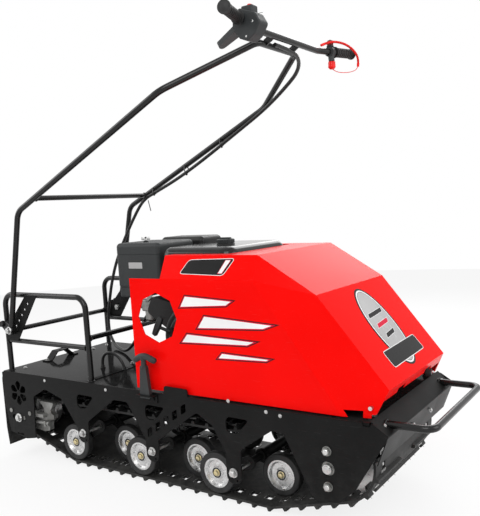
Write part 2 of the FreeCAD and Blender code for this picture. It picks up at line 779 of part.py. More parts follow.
def make_crossbars():
    """Two bars that tie the hoops together, coped to their legs."""
    bars = []
    for x in (rack_rear_x, rack_front_x):
        bar = disc(rail_r, 2 * rack_y, x, -rack_y, rack_cross_z)
        for side in (-1, 1):
            bar = bar.cut(Part.makeCylinder(tube_r + run_gap, 100, V(x, side * rack_y, rack_cross_z - 50)))
        bars.append(max(bar.Solids, key=lambda s: s.Volume))
    return Part.makeCompound(bars)


def brace_hole_place(k):
    """x, z of a hole in the brace, counted down from the top."""
    return handle_pivot_x + 92.0 - 20.75 * k, rack_top_z - 33.0 - 23.5 * k


def make_handle_bracket():
    """Right brace from the hoop's top to the pivot, with its row of holes."""
    y = -rack_y - tube_r - brace_t
    top = rack_top_z - 2
    corners = [(handle_pivot_x + 80, top, 3), (handle_pivot_x - 18, handle_pivot_z + 36, 14),
               (handle_pivot_x - 60, handle_pivot_z + 30, 10), (handle_pivot_x - 60, rack_mid_z + 6, 8),
               (handle_pivot_x + 12, rack_mid_z + 2, 14), (handle_pivot_x + 149, top, 3)]
    plate = plate_xz(corners, y, brace_t)
    for k in range(brace_holes):
        x, z = brace_hole_place(k)
        plate = plate.cut(disc(brace_hole_r, brace_t + 4, x, y - 2, z))
    return plate.cut(disc(bolt_r + run_gap, 12, handle_pivot_x, y - 4, handle_pivot_z))


def make_handle_pins():
    """Pivot bolts through eye and brace, with a spacer between them and a nut inside."""
    eye_out = -handle_y - tube_r
    brace_out = -rack_y - tube_r - brace_t
    brace_in = brace_out + brace_t
    pin = disc(bolt_r - run_gap, brace_in + nut_h + 4 - (eye_out - 3), handle_pivot_x, eye_out - 3,
               handle_pivot_z)
    pin = pin.fuse(disc(nut_r + 3, 2.7, handle_pivot_x, eye_out - 3, handle_pivot_z))
    pin = pin.fuse(hexagon(nut_r, nut_h, handle_pivot_x, eye_out - 3 - nut_h, handle_pivot_z))
    spacer = brace_out - (-handle_y + tube_r)
    pin = pin.fuse(disc(nut_r, spacer - fit_gap, handle_pivot_x, brace_out - spacer + fit_gap,
                        handle_pivot_z))
    pin = pin.fuse(hexagon(nut_r, nut_h, handle_pivot_x, brace_in, handle_pivot_z))
    return both_sides(pin)


def make_tow_hitch():
    """Arched bracket at the deck's rear, a little right of middle, with a drop pin hole in its top."""
    z0 = plate_top_z
    feet, top, h, t = hitch_foot_y, hitch_top_y, hitch_h, hitch_t
    low, high = z0 + t / 2.0, z0 + h - t / 2.0
    points = [(-feet - 22, low), (-feet, low), (-top, high), (top, high), (feet, low), (feet + 22, low)]
    arch = plate_yz(strip_outline(points, 7.0, t), hitch_x - hitch_width / 2.0, hitch_width)
    arch.translate(V(0, hitch_y, 0))
    return arch.cut(Part.makeCylinder(bolt_r, h, V(hitch_x, hitch_y, z0 + h / 2.0)))


# ---- handle ------------------------------------------------------------------------------
def make_handle_frame():
    """One bent tube from pivot to pivot, its cross tube, pivot eyes and handlebar lugs."""
    right = [V(handle_pivot_x, -handle_y, handle_pivot_z), V(handle_knee_x, -handle_y, handle_knee_z),
             V(handle_upper_x, -handle_y, handle_upper_z), V(handle_top_x, -handle_top_y, handle_top_z)]
    left = [V(p.x, -p.y, p.z) for p in reversed(right)]
    radii = [0, handle_bend_r, 90.0, 40.0, 40.0, 90.0, handle_bend_r, 0]
    frame = tube(right + left, radii, tube_r)
    slope = (handle_upper_z - handle_knee_z) / (handle_upper_x - handle_knee_x)
    z = handle_knee_z + slope * (handle_cross_x - handle_knee_x)
    frame = frame.fuse(disc(rail_r, 2 * handle_y, handle_cross_x, -handle_y, z))
    ear = link(handle_pivot_x, handle_pivot_z, handle_eye_r, handle_pivot_x - 41, handle_pivot_z + 25, 13,
               -handle_y - tube_r, 6)
    lock_x, lock_z, lock_y = handle_pivot_x - 41, handle_pivot_z + 25, -handle_y - tube_r
    ear = ear.fuse(disc(6, 18, lock_x, lock_y - 2, lock_z))
    ear = ear.fuse(hexagon(nut_r, nut_h, lock_x, lock_y - nut_h, lock_z))
    eye = disc(handle_eye_r, 2 * tube_r, handle_pivot_x, -handle_y - tube_r, handle_pivot_z).fuse(ear)
    bore = disc(bolt_r + run_gap, 60, handle_pivot_x, -handle_y - 30, handle_pivot_z)
    for shape in (eye, mirrored(eye)):
        frame = frame.fuse(shape)
    for hole in (bore, mirrored(bore)):
        frame = frame.cut(hole)
    for y in (-85.0, 79.0):
        frame = frame.fuse(link(handle_top_x, handle_top_z, tube_r, bar_x, bar_z, tube_r - 1, y, 6))
    return frame.cut(disc(bar_r + run_gap, 240, bar_x, -120, bar_z))


def bar_points():
    """Handlebar centre line, right end to left end."""
    half = [V(bar_end_x, -bar_end_y, bar_end_z), V(bar_x, -bar_bend_y, bar_z)]
    return half + [V(p.x, -p.y, p.z) for p in reversed(half)]


bar_r = 11.0


def make_handlebar():
    return tube(bar_points(), [0, 90, 90, 0], bar_r)


def bar_direction():
    """Right end of the handlebar and the way inwards along its grip."""
    p, q = bar_points()[0], bar_points()[1]
    return p, (q - p).normalize()


def make_grip():
    """Right grip: a ribbed sleeve with an end flange."""
    p, d = bar_direction()
    start = p - d * 4
    body = rod(grip_r - 1.5, start, start + d * grip_length)
    body = body.fuse(rod(grip_end_r, start, start + d * 5))
    ribs = 9
    for k in range(ribs):
        rib = start + d * (10 + k * (grip_length - 18) / (ribs - 1))
        body = body.fuse(rod(grip_r, rib, rib + d * 7))
    body = body.fuse(rod(grip_end_r, start + d * (grip_length - 4), start + d * grip_length))
    return body.cut(rod(bar_r, p, p + d * (grip_length + 20)))


housing_y0 = -301.0
housing_y1 = -252.0


def bar_hole(y0, y1):
    """The handlebar's own room between two places across the machine."""
    p, d = bar_direction()
    a = p + d * ((y0 - p.y) / d.y)
    b = p + d * ((y1 - p.y) / d.y)
    return rod(bar_r + run_gap, a, b)


def make_throttle_housing():
    """Moulded casing round the bar, with a switch pod above and the cable outlet inside."""
    x, z = bar_x + 14.0, bar_z + 3.0
    outline = [(x - 22, z - 22, 12), (x - 20, z + 12, 12), (x + 4, z + 32, 10), (x + 58, z + 12, 12),
               (x + 76, z - 18, 12), (x + 54, z - 50, 12), (x + 30, z - 64, 8), (x + 2, z - 54, 8)]
    body = plate_xz(outline, housing_y0, housing_y1 - housing_y0)
    long_edges = [e for e in body.Edges if abs(e.BoundBox.YLength) < 0.01 and e.Length > 8]
    body = body.makeChamfer(3.0, long_edges)
    pod = soft_block(x + 6, x + 46, housing_y0 + 8, housing_y1 - 8, z + 8, z + 38, 5.0)
    outlet = rod(6.0, V(x + 30, housing_y1 - 2, z - 28), V(x + 34, housing_y1 + 26, z - 30))
    body = body.fuse(pod).fuse(outlet)
    return body.cut(bar_hole(housing_y0 - 20, housing_y1 + 40))


def make_throttle_lever(housing):
    """Tapered channel paddle that hangs behind the housing."""
    length, root, tip, deep, wall = 84.0, 23.0, 13.0, 16.0, 3.0
    outer = plate_xy([(0, -root, 6), (length, -tip, 12), (length, tip, 12), (0, root, 6)], 0, deep)
    pocket = plate_xy([(14, -root + wall + 1, 4), (length - wall, -tip + wall, 10),
                       (length - wall, tip - wall, 10), (14, root - wall - 1, 4)], -1, deep - wall + 1)
    lever = outer.cut(pocket)
    lever.rotate(V(0, 0, 0), V(0, 1, 0), 180.0 - 26.0)
    lever.translate(V(bar_x - 2.0, (housing_y0 + housing_y1) / 2.0 - 1, bar_z - 10.0))
    return lever.cut(housing)


def make_kill_switch():
    """Stop switch clamped on the left of the bar: knob above, body below."""
    y = 292.0
    t = (y - bar_bend_y) / (bar_end_y - bar_bend_y)
    x = bar_x + t * (bar_end_x - bar_x)
    z = bar_z + t * (bar_end_z - bar_z)
    body = disc(18.0, 22, x, y - 11, z)
    body = body.fuse(rod(10.0, V(x, y, z + 10), V(x, y, z + 24)))
    body = body.fuse(Part.makeSphere(12.0, V(x, y, z + 28)))
    body = body.fuse(rod(11.0, V(x + 2, y, z - 10), V(x + 4, y, z - 34)))
    return body.cut(mirrored(bar_hole(-y - 20, -y + 20)))


def make_kill_cap():
    """Red cap of the stop switch, with a collar for its cord."""
    x, y, z = bar_x + 21.0, 292.0, bar_z - 31.0
    cap = turned_z([(0, z, 0), (13, z, 2), (14, z - 20, 6), (8, z - 27, 4), (0, z - 28, 0)], x, y)
    return cap


# ---- hood --------------------------------------------------------------------------------
def hood_solid(shrink):
    """The hood's full volume; shrink moves every wall inwards."""
    s = shrink
    side = hood_side_y - s
    top_y = hood_top_y - s * 0.6
    top_z = hood_top_z - s
    z0 = hood_bottom_z
    b = V(hood_fold_x, side, hood_shoulder_z - s * 0.4)
    c = V(hood_mid_x - s * 0.6, top_y, hood_mid_z - s)
    lip = V(hood_lip_x - s, hood_lip_y - s, hood_lip_z)
    n = (c - b).cross(lip - b)
    crease = V(b.x - n.z * (z0 - b.z) / n.x, side, z0)
    k_x = hood_corner_x - s
    corner = V(k_x, b.y - (n.x * (k_x - b.x) + n.z * (z0 - b.z)) / n.y, z0)
    a = V(hood_fold_x - s * 0.3, top_y, top_z)
    rear_side = V(hood_rear_x, side, b.z)
    rear_top = V(hood_rear_x, top_y, top_z)
    rear_low = V(hood_rear_x, side, z0)

    def m(p):
        return V(p.x, -p.y, p.z)

    one_side = [[rear_low, crease, b, rear_side], [rear_side, b, a, rear_top], [a, b, c],
                [b, crease, corner, lip, c]]
    faces = one_side + [[m(p) for p in f] for f in one_side]
    faces += [[rear_top, a, m(a), m(rear_top)], [a, c, m(c), m(a)], [c, lip, m(lip), m(c)],
              [lip, corner, m(corner), m(lip)],
              [rear_low, rear_side, rear_top, m(rear_top), m(rear_side), m(rear_low)],
              [rear_low, crease, corner, m(corner), m(crease), m(rear_low)]]
    shell = Part.makeShell([Part.Face(Part.makePolygon(f + [f[0]])) for f in faces])
    solid = Part.makeSolid(shell)
    if solid.Volume < 0:
        solid.reverse()
    return solid


def hood_openings():
    """Everything that is open in the hood: back, floor, nose, tank, starter and flange notches."""
    wide = hood_side_y + 5
    low = hood_bottom_z - 5
    inside = hood_side_y - hood_t - 1
    cuts = [block(hood_rear_x - 5, hood_rear_x + 0.5, -wide, wide, low, hood_top_z + 5),
            block(hood_rear_x - 5, hood_step_x, -wide, wide, hood_shoulder_z, hood_top_z + 5),
            block(hood_rear_x - 5, hood_corner_x - 30, -inside, inside, low, hood_bottom_z + 20),
            block(hood_corner_x - 60, hood_lip_x + 20, -hood_lip_y - 4, hood_lip_y + 4, low,
                  hood_lip_z - hood_lip_flange),
            block(hood_pin_x, hood_lip_x + 20, -wide, wide, low, hood_bottom_z + 10)]
    rim = tank_hole_y
    cuts.append(plate_xy([(hood_rear_x - 50, -rim, 0), (tank_hole_x, -rim, 14), (tank_hole_x, rim, 14),
                          (hood_rear_x - 50, rim, 0)], hood_top_z - 30, 50))
    octagon = []
    for k in range(8):
        a = math.radians(45.0 * k + 90.0)
        octagon.append((starter_hole_x + starter_hole_r * math.cos(a),
                        starter_hole_z + starter_hole_r * math.sin(a), 2.0))
    cuts.append(plate_xz(octagon, -hood_side_y - 5, 20))
    for y in (-150, 90):
        cuts.append(block(hood_corner_x - 20, hood_lip_x + 20, y, y + 60, low,
                          hood_lip_z - hood_lip_flange + 14))
    for side in (-1, 1):
        cuts.append(disc(hood_pin_r + run_gap, 80, hood_pin_x, side * (hood_side_y - 25) - 40, hood_pin_z))
    return cuts


def make_hood():
    """Folded sheet hood, open at the back and below."""
    hood = hood_solid(0.0).cut(hood_solid(hood_t))
    for cut in hood_openings():
        hood = hood.cut(cut)
    return max(hood.Solids, key=lambda s: s.Volume)


def make_hood_hinges():
    """Upstands with pins that the hood swings on."""
    y_lug = -hood_side_y + 48
    pin = disc(hood_pin_r, 41, hood_pin_x, -hood_side_y + 12, hood_pin_z)
    lug = plate_xz([(hood_pin_x - 26, plate_top_z, 0), (hood_pin_x + 4, plate_top_z, 0),
                    (hood_pin_x + 11, hood_pin_z + 14, 10), (hood_pin_x - 12, hood_pin_z + 14, 10)],
                   y_lug, 5)
    return both_sides(pin.fuse(lug))


# ---- engine -------------------------------------------------------------------------------
engine_mid_y = 5.0
fin_pitch = 13.0
fin_t = 4.0


def on_cylinder(shape):
    """Tilts what is modelled along -X from the crank up to the cylinder's slope."""
    shape.rotate(V(crank_x, 0, crank_z), V(0, 1, 0), cylinder_tilt)
    return shape


def make_engine_block():
    """Crankcase on its rails, finned sloping cylinder, head and rocker cover."""
    case = turned([(0, engine_y0, 0), (96, engine_y0, 14), (108, engine_y0 + 30, 10),
                   (108, engine_y1 - 40, 10), (84, engine_y1, 14), (0, engine_y1, 0)], crank_x, crank_z)
    base = plate_xz([(crank_x - 100, engine_base_z, 4), (crank_x - 92, crank_z - 40, 20),
                     (crank_x + 96, crank_z - 40, 20), (crank_x + 118, engine_base_z, 4)],
                    engine_y0 + 20, engine_y1 - engine_y0 - 40)
    body = case.fuse(base)
    for y in (engine_y0 + 20, engine_y1 - 55):
        body = body.fuse(block(crank_x - 130, crank_x + 150, y, y + 35, plate_top_z, engine_base_z))
    mid = engine_mid_y
    barrel = block(crank_x - 200, crank_x - 70, mid - 52, mid + 52, crank_z - 50, crank_z + 50)
    head = block(crank_x - head_end, crank_x - 198, mid - 66, mid + 66, crank_z - 60, crank_z + 60)
    parts = [barrel, head]
    for k in range(9):
        x = crank_x - 198 + k * fin_pitch
        parts.append(plate_yz(box_corners(mid - 74, mid + 74, crank_z - 66, crank_z + 66, 12), x, fin_t))
    cover = soft_block(crank_x - cover_end, crank_x - head_end + 2, mid - 56, mid + 56, crank_z - 44,
                       crank_z + 44, 9.0)
    parts.append(cover)
    for part in parts:
        body = body.fuse(on_cylinder(part))
    hub = disc(26, 20, crank_x, engine_y1 - 2, crank_z)
    for side in (-1, 1):
        y = mid + side * 100 - 15
        body = body.fuse(block(crank_x + 10, crank_x + 50, y, y + 30, crank_z + 80, tank_z0))
    return body.fuse(hub)


def make_fan_cover():
    """Blower housing with its duct to the fins, and the recoil starter with slots."""
    depth = engine_y0 - fan_y0
    drum = turned([(0, fan_y0, 0), (fan_r, fan_y0, 14), (fan_r, engine_y0, 0), (0, engine_y0, 0)],
                  crank_x, crank_z)
    duct = plate_xz([(crank_x + 20, crank_z + 20, 10), (crank_x - 60, crank_z + fan_r - 2, 20),
                     (crank_x - 175, crank_z + 150, 16), (crank_x - 205, crank_z + 90, 16),
                     (crank_x - 90, crank_z + 20, 10)], fan_y0 + 10, depth - 10)
    shell = drum.fuse(duct)
    recoil = turned([(0, fan_y0 - 16, 0), (40, fan_y0 - 16, 6), (88, fan_y0 - 10, 8), (98, fan_y0, 0),
                     (0, fan_y0, 0)], crank_x, crank_z)
    slot = plate_xz([(crank_x - 5, crank_z + 50, 4.9), (crank_x - 5, crank_z + 80, 4.9),
                     (crank_x + 5, crank_z + 80, 4.9), (crank_x + 5, crank_z + 50, 4.9)],
                    fan_y0 - 20, 16)
    recoil = recoil.cut(Part.makeCompound(ring_of(slot, crank_x, crank_z, 12)))
    exit_boss = disc(14, 20, starter_x + 34, fan_y0 - 18, starter_z - 22)
    return shell.fuse(recoil).fuse(exit_boss)


starter_x = -79.0
starter_z = 591.0
starter_y = -240.0


def make_starter_grip(fan_cover):
    """T grip: a tapered bar across a short stem that sits on the cover's boss."""
    bar = plate_xz([(-9, -38, 5), (9, -38, 5), (12, 0, 30), (9, 38, 5), (-9, 38, 5), (-12, 0, 30)], 0, 14)
    bar = bar.makeFillet(3.0, [e for e in bar.Edges if e.BoundBox.YLength < 0.01])
    bar.rotate(V(0, 0, 0), V(0, 1, 0), 30.0)
    bar.translate(V(starter_x, starter_y - 7, starter_z))
    stem = rod(6.0, V(starter_x + 4, starter_y, starter_z - 2),
               V(starter_x + 34, fan_y0 - 16, starter_z - 22))
    return bar.fuse(stem).cut(fan_cover)


cleaner_x0 = -350.0
cleaner_x1 = -130.0
cleaner_y0 = -150.0
cleaner_y1 = 62.0
cleaner_z0 = 706.0
cleaner_z1 = 881.0


def make_air_cleaner():
    """Box air cleaner with a lid seam, a wing stud and its stepped base."""
    body = soft_block(cleaner_x0, cleaner_x1, cleaner_y0, cleaner_y1, cleaner_z0, cleaner_z1, 16.0)
    lid = cleaner_z1 - 44.0
    groove = block(cleaner_x0 - 5, cleaner_x1 + 5, cleaner_y0 - 5, cleaner_y1 + 5, lid, lid + 2.5)
    core = soft_block(cleaner_x0 + 2, cleaner_x1 - 2, cleaner_y0 + 2, cleaner_y1 - 2, cleaner_z0 + 10,
                      cleaner_z1 - 10, 14.0)
    body = body.cut(groove.cut(core))
    stud_x = (cleaner_x0 + cleaner_x1) / 2.0
    stud_y = (cleaner_y0 + cleaner_y1) / 2.0 - 50
    stud = rod(3.0, V(stud_x, stud_y, cleaner_z1 - 4), V(stud_x, stud_y, cleaner_z1 + 20))
    nut = rod(9.0, V(stud_x, stud_y, cleaner_z1 - 2), V(stud_x, stud_y, cleaner_z1 + 6))
    base = soft_block(cleaner_x0 + 4, cleaner_x1 - 106, cleaner_y0 + 4, cleaner_y1 - 4, cleaner_z0 - 34,
                      cleaner_z0 + 16, 8.0)
    return body.fuse(stud).fuse(nut).fuse(base)


tank_x0 = -98.0
tank_x1 = 218.0
tank_half_y = 188.0
tank_z0 = 706.0
tank_seam_z = 790.0
tank_z1 = 864.0


def make_tank():
    """Pressed tank in two halves on a seam flange, with a filler neck."""
    corners = box_corners(tank_x0, tank_x1, -tank_half_y, tank_half_y, 46)
    upper = plate_xy(corners, tank_seam_z, tank_z1 - tank_seam_z)
    upper = upper.makeFillet(30.0, [e for e in upper.Edges if e.BoundBox.ZMin > tank_z1 - 0.1])
    lower = plate_xy(corners, tank_z0, tank_seam_z - tank_z0)
    lower = lower.makeFillet(26.0, [e for e in lower.Edges if e.BoundBox.ZMax < tank_z0 + 0.1])
    rim = box_corners(tank_x0 - 6, tank_x1 + 6, -tank_half_y - 6, tank_half_y + 6, 50)
    flange = plate_xy(rim, tank_seam_z - 2, 4)
    neck = rod(28.0, V(cap_x, cap_y, tank_z1 - 2), V(cap_x, cap_y, tank_z1 + 4))
    return upper.fuse(lower).fuse(flange).fuse(neck)


cap_x = 80.0
cap_y = -20.0


def make_fuel_cap():
    """Knurled cap with a raised grip bar."""
    z = tank_z1 + 4
    cap = turned_z([(0, z, 0), (33, z, 1), (33, z + 14, 4), (0, z + 14, 0)], cap_x, cap_y)
    notch = rod(2.2, V(cap_x + 33.5, cap_y, z - 1), V(cap_x + 33.5, cap_y, z + 20))
    for k in range(24):
        cut = notch.copy()
        cut.rotate(V(cap_x, cap_y, 0), V(0, 0, 1), 15.0 * k)
        cap = cap.cut(cut)
    return cap.fuse(soft_block(cap_x - 24, cap_x + 24, cap_y - 6, cap_y + 6, z + 10, z + 20, 3.0))


def make_muffler():
    """Muffler with a louvred guard beside the air cleaner, and its exhaust pipe."""
    x0, x1 = cleaner_x0 + 24, cleaner_x1 + 22
    y0, y1 = cleaner_y1 + 22, cleaner_y1 + 160
    z0, z1 = 716.0, 888.0
    body = soft_block(x0, x1, y0, y1, z0, z1, 18.0)
    for k in range(6):
        x = x0 + 40 + 28 * k
        body = body.cut(plate_xz([(x, z0 + 40, 3.9), (x, z1 - 40, 3.9), (x + 8, z1 - 40, 3.9),
                                  (x + 8, z0 + 40, 3.9)], y1 - 4, 10))
    outlet = rod(11.0, V(x0 + 6, y1 - 30, z0 + 30), V(x0 - 16, y1 - 30, z0 + 30))
    pipe = tube([V(x0 + 60, y0 + 40, z0 + 4), V(x0 + 60, y0 + 40, 660), V(x0 + 96, engine_mid_y + 60, 640)],
                [0, 24, 0], 15.0)
    return body.fuse(outlet).fuse(pipe)


def make_carburettor(block_shape):
    """Carburettor with its bowl, choke lever and the elbow up to the air cleaner."""
    x, y = -214.0, -118.0
    body = soft_block(x - 28, x + 28, y - 26, y + 40, 622, 668, 6.0)
    bowl = turned_z([(0, 624, 0), (24, 624, 0), (24, 590, 6), (10, 580, 3), (0, 580, 0)], x, y)
    elbow = tube([V(x - 24, y, 646), V(x - 66, y, 646), V(x - 66, y, cleaner_z0 - 34)], [0, 20, 0], 18.0)
    lever = plate_xz([(x - 6, 664, 4), (x + 30, 690, 4), (x + 36, 682, 4), (x + 6, 658, 4)], y - 30, 3)
    pin = disc(3.0, 12, x + 2, y - 32, 662)
    return body.fuse(bowl).fuse(elbow).fuse(lever).fuse(pin).cut(block_shape)


def make_belt_cover():
    """Guard over the belt drive on the left side, with a raised rim."""
    y0 = engine_y1 + 20
    guard = link(crank_x, crank_z, 96, 540, 452, 66, y0, 46)
    cover = guard.makeFillet(8.0, [e for e in guard.Edges if e.BoundBox.YMin > y0 + 45])
    bead = link(crank_x, crank_z, 70, 540, 452, 42, y0 + 40, 9)
    pillar = rod(16.0, V(520, y0 + 4, 440), V(520, y0 + 4, plate_top_z)).fuse(
        block(495, 545, y0 - 14, y0 + 20, plate_top_z, plate_top_z + 4))
    return cover.fuse(bead).fuse(pillar)


# ---- gear lever ------------------------------------------------------------------------------
gear_x = -86.0
gear_y = -plate_half_width - 13.0
gear_shelf_z = 362.0


def make_gear_lever():
    """Tapered channel stem with a drooping T knob."""
    foot, top, z0, z1 = 23.0, 13.0, gear_shelf_z, 466.0
    stem = plate_xz([(gear_x - foot, z0, 2), (gear_x + foot, z0, 2), (gear_x + top, z1, 5),
                     (gear_x - top, z1, 5)], gear_y - 7, 14)
    pocket = plate_xz([(gear_x - foot + 4, z0 - 5, 1), (gear_x + foot - 4, z0 - 5, 1),
                       (gear_x + top - 4, z1 - 16, 4), (gear_x - top + 4, z1 - 16, 4)], gear_y - 3, 12)
    stub = block(gear_x - foot, gear_x + foot, gear_y - 7, gear_y - 3, gear_shelf_z - 12, z0 + 1)
    neck = turned_z([(0, z1 - 8, 0), (11, z1 - 8, 1), (9, z1 + 16, 4), (13, z1 + 34, 2), (0, z1 + 34, 0)],
                    gear_x, gear_y)
    knob = tube([V(gear_x - 34, gear_y, z1 + 20), V(gear_x, gear_y, z1 + 38), V(gear_x + 47, gear_y, z1 + 22)],
                [0, 50, 0], 11.0)
    ends = [Part.makeSphere(11.0, V(gear_x - 34, gear_y, z1 + 20)),
            Part.makeSphere(11.0, V(gear_x + 47, gear_y, z1 + 22))]
    return stem.cut(pocket).fuse(stub).fuse(neck).fuse(knob).multiFuse(ends)


def make_gear_bracket(lever):
    """Angle bolted on the plate, with a slot for the lever's foot."""
    y1 = -plate_half_width
    x0, x1 = gear_x - 38, gear_x + 42
    leg = plate_xz([(x0, gear_shelf_z - 30, 4), (x0, gear_shelf_z, 1), (x1, gear_shelf_z, 1),
                    (x1, gear_shelf_z - 30, 4)], y1 - 4, 4)
    shelf = plate_xy(box_corners(x0, x1, gear_y - 14, y1, 4), gear_shelf_z - 4, 4)
    angle = leg.fuse(shelf)
    for k in (-1, 0, 1):
        angle = angle.fuse(disc(6.0, 3, gear_x + 2 + 22 * k, y1 - 7, gear_shelf_z - 16))
    return angle.cut(block(gear_x - 24, gear_x + 24, gear_y - 7 - fit_gap, gear_y - 3 + fit_gap,
                           gear_shelf_z - 10, gear_shelf_z + 1)).cut(lever)


# ---- cords ---------------------------------------------------------------------------------------
cable_r = 7.0
hose_r = 6.0
lanyard_r = 4.5


def upper_cable_points():
    """Sheathed cables from the handlebar, down the left tube to its cross tube."""
    return [V(352, -60, 1510), V(352, 60, 1508), V(336, 130, 1492), V(300, 178, 1464), V(238, 214, 1434),
            V(150, 254, 1393), V(60, 288, 1355), V(-40, 292, 1304), V(-150, 292, 1245),
            V(-260, 292, 1188), V(-370, 292, 1136), V(-470, 292, 1096), V(-556, 292, 1064)]


def loop_cable_points():
    """The same cables from the cross tube, hanging past the pivot to the engine."""
    return [V(-557, 292, 1063.6), V(-592, 291, 1048), V(-638, 280, 984), V(-708, 258, 858),
            V(-748, 245, 768), V(-778, 238, 680), V(-802, 236, 590), V(-822, 237, 504),
            V(-818, 234, 430), V(-772, 214, 388), V(-692, 166, 378), V(-606, 124, 380),
            V(-534, 100, 424), V(-476, 84, 490), V(-420, 66, 556), V(-340, 40, 610), V(-219, 18, 652)]


def brake_hose_points():
    """A short hose that rises from the deck and bends forward to the gear box."""
    return [V(-510, -112, 370.5), V(-512, -112, 402), V(-496, -110, 430), V(-464, -107, 438),
            V(-430, -104, 426), V(-404, -102, 398), V(-398, -101, 374.5)]


def lanyard_points():
    """Coiled stop cord from its clip, over the left grip, and back down towards the cap."""
    return [V(372, 240, 1556), V(384, 262, 1566), V(400, 300, 1572), V(418, 345, 1566), V(430, 385, 1548),
            V(434, 412, 1524), V(426, 424, 1504)]


def cord_tube(points, r):
    """A cord's tube: each bend is as large as its two runs allow."""
    radii = [0.0]
    for i in range(1, len(points) - 1):
        a = points[i - 1] - points[i]
        b = points[i + 1] - points[i]
        turn = math.pi - a.getAngle(b)
        radii.append(0.45 * min(a.Length, b.Length) / math.tan(turn / 2.0))
    radii.append(0.0)
    shape = tube(points, radii, r)
    length = rounded_wire(points, radii).Length
    print("cord radii", [round(x) for x in radii], "length", round(length),
          "volume ratio", round(shape.Volume / (math.pi * r * r * length), 4))
    return shape


# ---- the whole ---------------------------------------------------------------------------------------
def write(name, shape):
    shape.exportStep("parts/%s.step" % name)
    print(name, len(shape.Solids), shape.isValid(), round(shape.Volume / 1e3, 1))


def write_frame():
    plate = make_side_plate()
    write("side_plate_right", plate)
    write("side_plate_left", mirrored(plate))
    write("deck_plate", make_deck())
    cover = make_front_cover()
    write("front_cover_plate", cover)
    write("front_bumper", make_bumper(cover))
    write("rear_panel", make_rear_panel())
    rack = make_rack_side()
    write("cargo_rack_right", rack)
    write("cargo_rack_left", mirrored(rack))
    write("rack_crossbars", make_crossbars())
    bracket = make_handle_bracket()
    write("handle_bracket_right", bracket)
    write("handle_bracket_left", mirrored(bracket))
    write("handle_pivot_bolts", make_handle_pins())
    write("tow_hitch", make_tow_hitch())


def write_running_gear():
    write("track", make_track())
    write("roller_tyres", make_roller_tyres())
    write("roller_discs", make_roller_discs())
    write("bogie_arms", make_bogie_arms())
    write("bogie_pins", make_bogie_pins())
    write("drive_axle", make_drive_axle())
    write("drive_bearings", make_drive_bearings())
    write("rear_idler_axle", make_idler())
    write("track_tensioners", make_tensioners())


def write_handle():
    write("handle_frame", make_handle_frame())
    write("handlebar", make_handlebar())
    grip = make_grip()
    write("grip_right", grip)
    write("grip_left", mirrored(grip))
    housing = make_throttle_housing()
    write("throttle_housing", housing)
    write("throttle_lever", make_throttle_lever(housing))
    write("kill_switch", make_kill_switch())
    write("kill_switch_cap", make_kill_cap())
    write("control_cable_upper", cord_tube(upper_cable_points(), cable_r))
    write("control_cable_loop", cord_tube(loop_cable_points(), cable_r))
    write("kill_lanyard", cord_tube(lanyard_points(), lanyard_r))


def write_engine():
    block_shape = make_engine_block()
    write("engine_block", block_shape)
    fan_cover = make_fan_cover().cut(block_shape)
    write("fan_cover", fan_cover)
    write("starter_grip", make_starter_grip(fan_cover))
    write("air_cleaner", make_air_cleaner())
    write("fuel_tank", make_tank())
    write("fuel_cap", make_fuel_cap())
    write("muffler", make_muffler().cut(block_shape))
    write("carburettor", make_carburettor(block_shape))
    write("belt_cover", make_belt_cover())


def main():
    os.makedirs("parts", exist_ok=True)
    write_frame()
    write_running_gear()
    write_handle()
    write("hood", make_hood())
    write("hood_hinge_pins", make_hood_hinges())
    write_engine()
    lever = make_gear_lever()
    write("gear_lever", lever)
    write("gear_lever_bracket", make_gear_bracket(lever))
    write("brake_hose", cord_tube(brake_hose_points(), hose_r))


main()
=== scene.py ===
import bpy
import math
import random
from mathutils import Matrix, Vector


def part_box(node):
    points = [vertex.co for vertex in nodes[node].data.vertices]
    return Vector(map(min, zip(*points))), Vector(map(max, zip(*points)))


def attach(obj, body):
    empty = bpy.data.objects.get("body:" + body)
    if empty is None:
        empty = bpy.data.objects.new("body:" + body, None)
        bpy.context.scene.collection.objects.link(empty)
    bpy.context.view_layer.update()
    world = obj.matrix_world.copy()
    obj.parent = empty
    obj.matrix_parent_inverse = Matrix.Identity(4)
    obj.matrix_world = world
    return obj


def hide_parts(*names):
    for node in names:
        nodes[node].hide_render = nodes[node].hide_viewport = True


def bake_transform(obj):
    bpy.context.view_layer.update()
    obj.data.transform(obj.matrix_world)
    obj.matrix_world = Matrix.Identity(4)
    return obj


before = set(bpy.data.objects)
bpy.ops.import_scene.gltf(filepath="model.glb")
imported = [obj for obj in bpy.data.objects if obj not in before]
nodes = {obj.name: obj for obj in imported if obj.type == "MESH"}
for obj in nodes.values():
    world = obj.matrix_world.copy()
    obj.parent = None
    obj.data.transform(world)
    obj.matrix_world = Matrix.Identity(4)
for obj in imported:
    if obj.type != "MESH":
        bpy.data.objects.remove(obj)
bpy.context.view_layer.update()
random.seed(7)
print("frame loaded:", len(nodes), "nodes")


def clearSelection():
    if bpy.context.object and bpy.context.object.mode != "OBJECT":
        bpy.ops.object.mode_set(mode="OBJECT")
    bpy.ops.object.select_all(action="DESELECT")


def selectOnly(*things):
    clearSelection()
    for thing in things:
        thing.select_set(True)
    bpy.context.view_layer.objects.active = things[0]


def editAll(selectType=None):
    # enters edit mode with the whole mesh selected
    bpy.ops.object.mode_set(mode="EDIT")
    if selectType:
        bpy.ops.mesh.select_mode(type=selectType)
    bpy.ops.mesh.select_all(action="SELECT")


def editFaces(pick):
    # enters edit mode with only the faces that pick() wants
    mesh = bpy.context.object.data
    for group in (mesh.vertices, mesh.edges, mesh.polygons):
        for element in group:
            element.select = False
    for face in mesh.polygons:
        face.select = bool(pick(face))
    bpy.ops.object.mode_set(mode="EDIT")
    bpy.ops.mesh.select_mode(type="FACE")


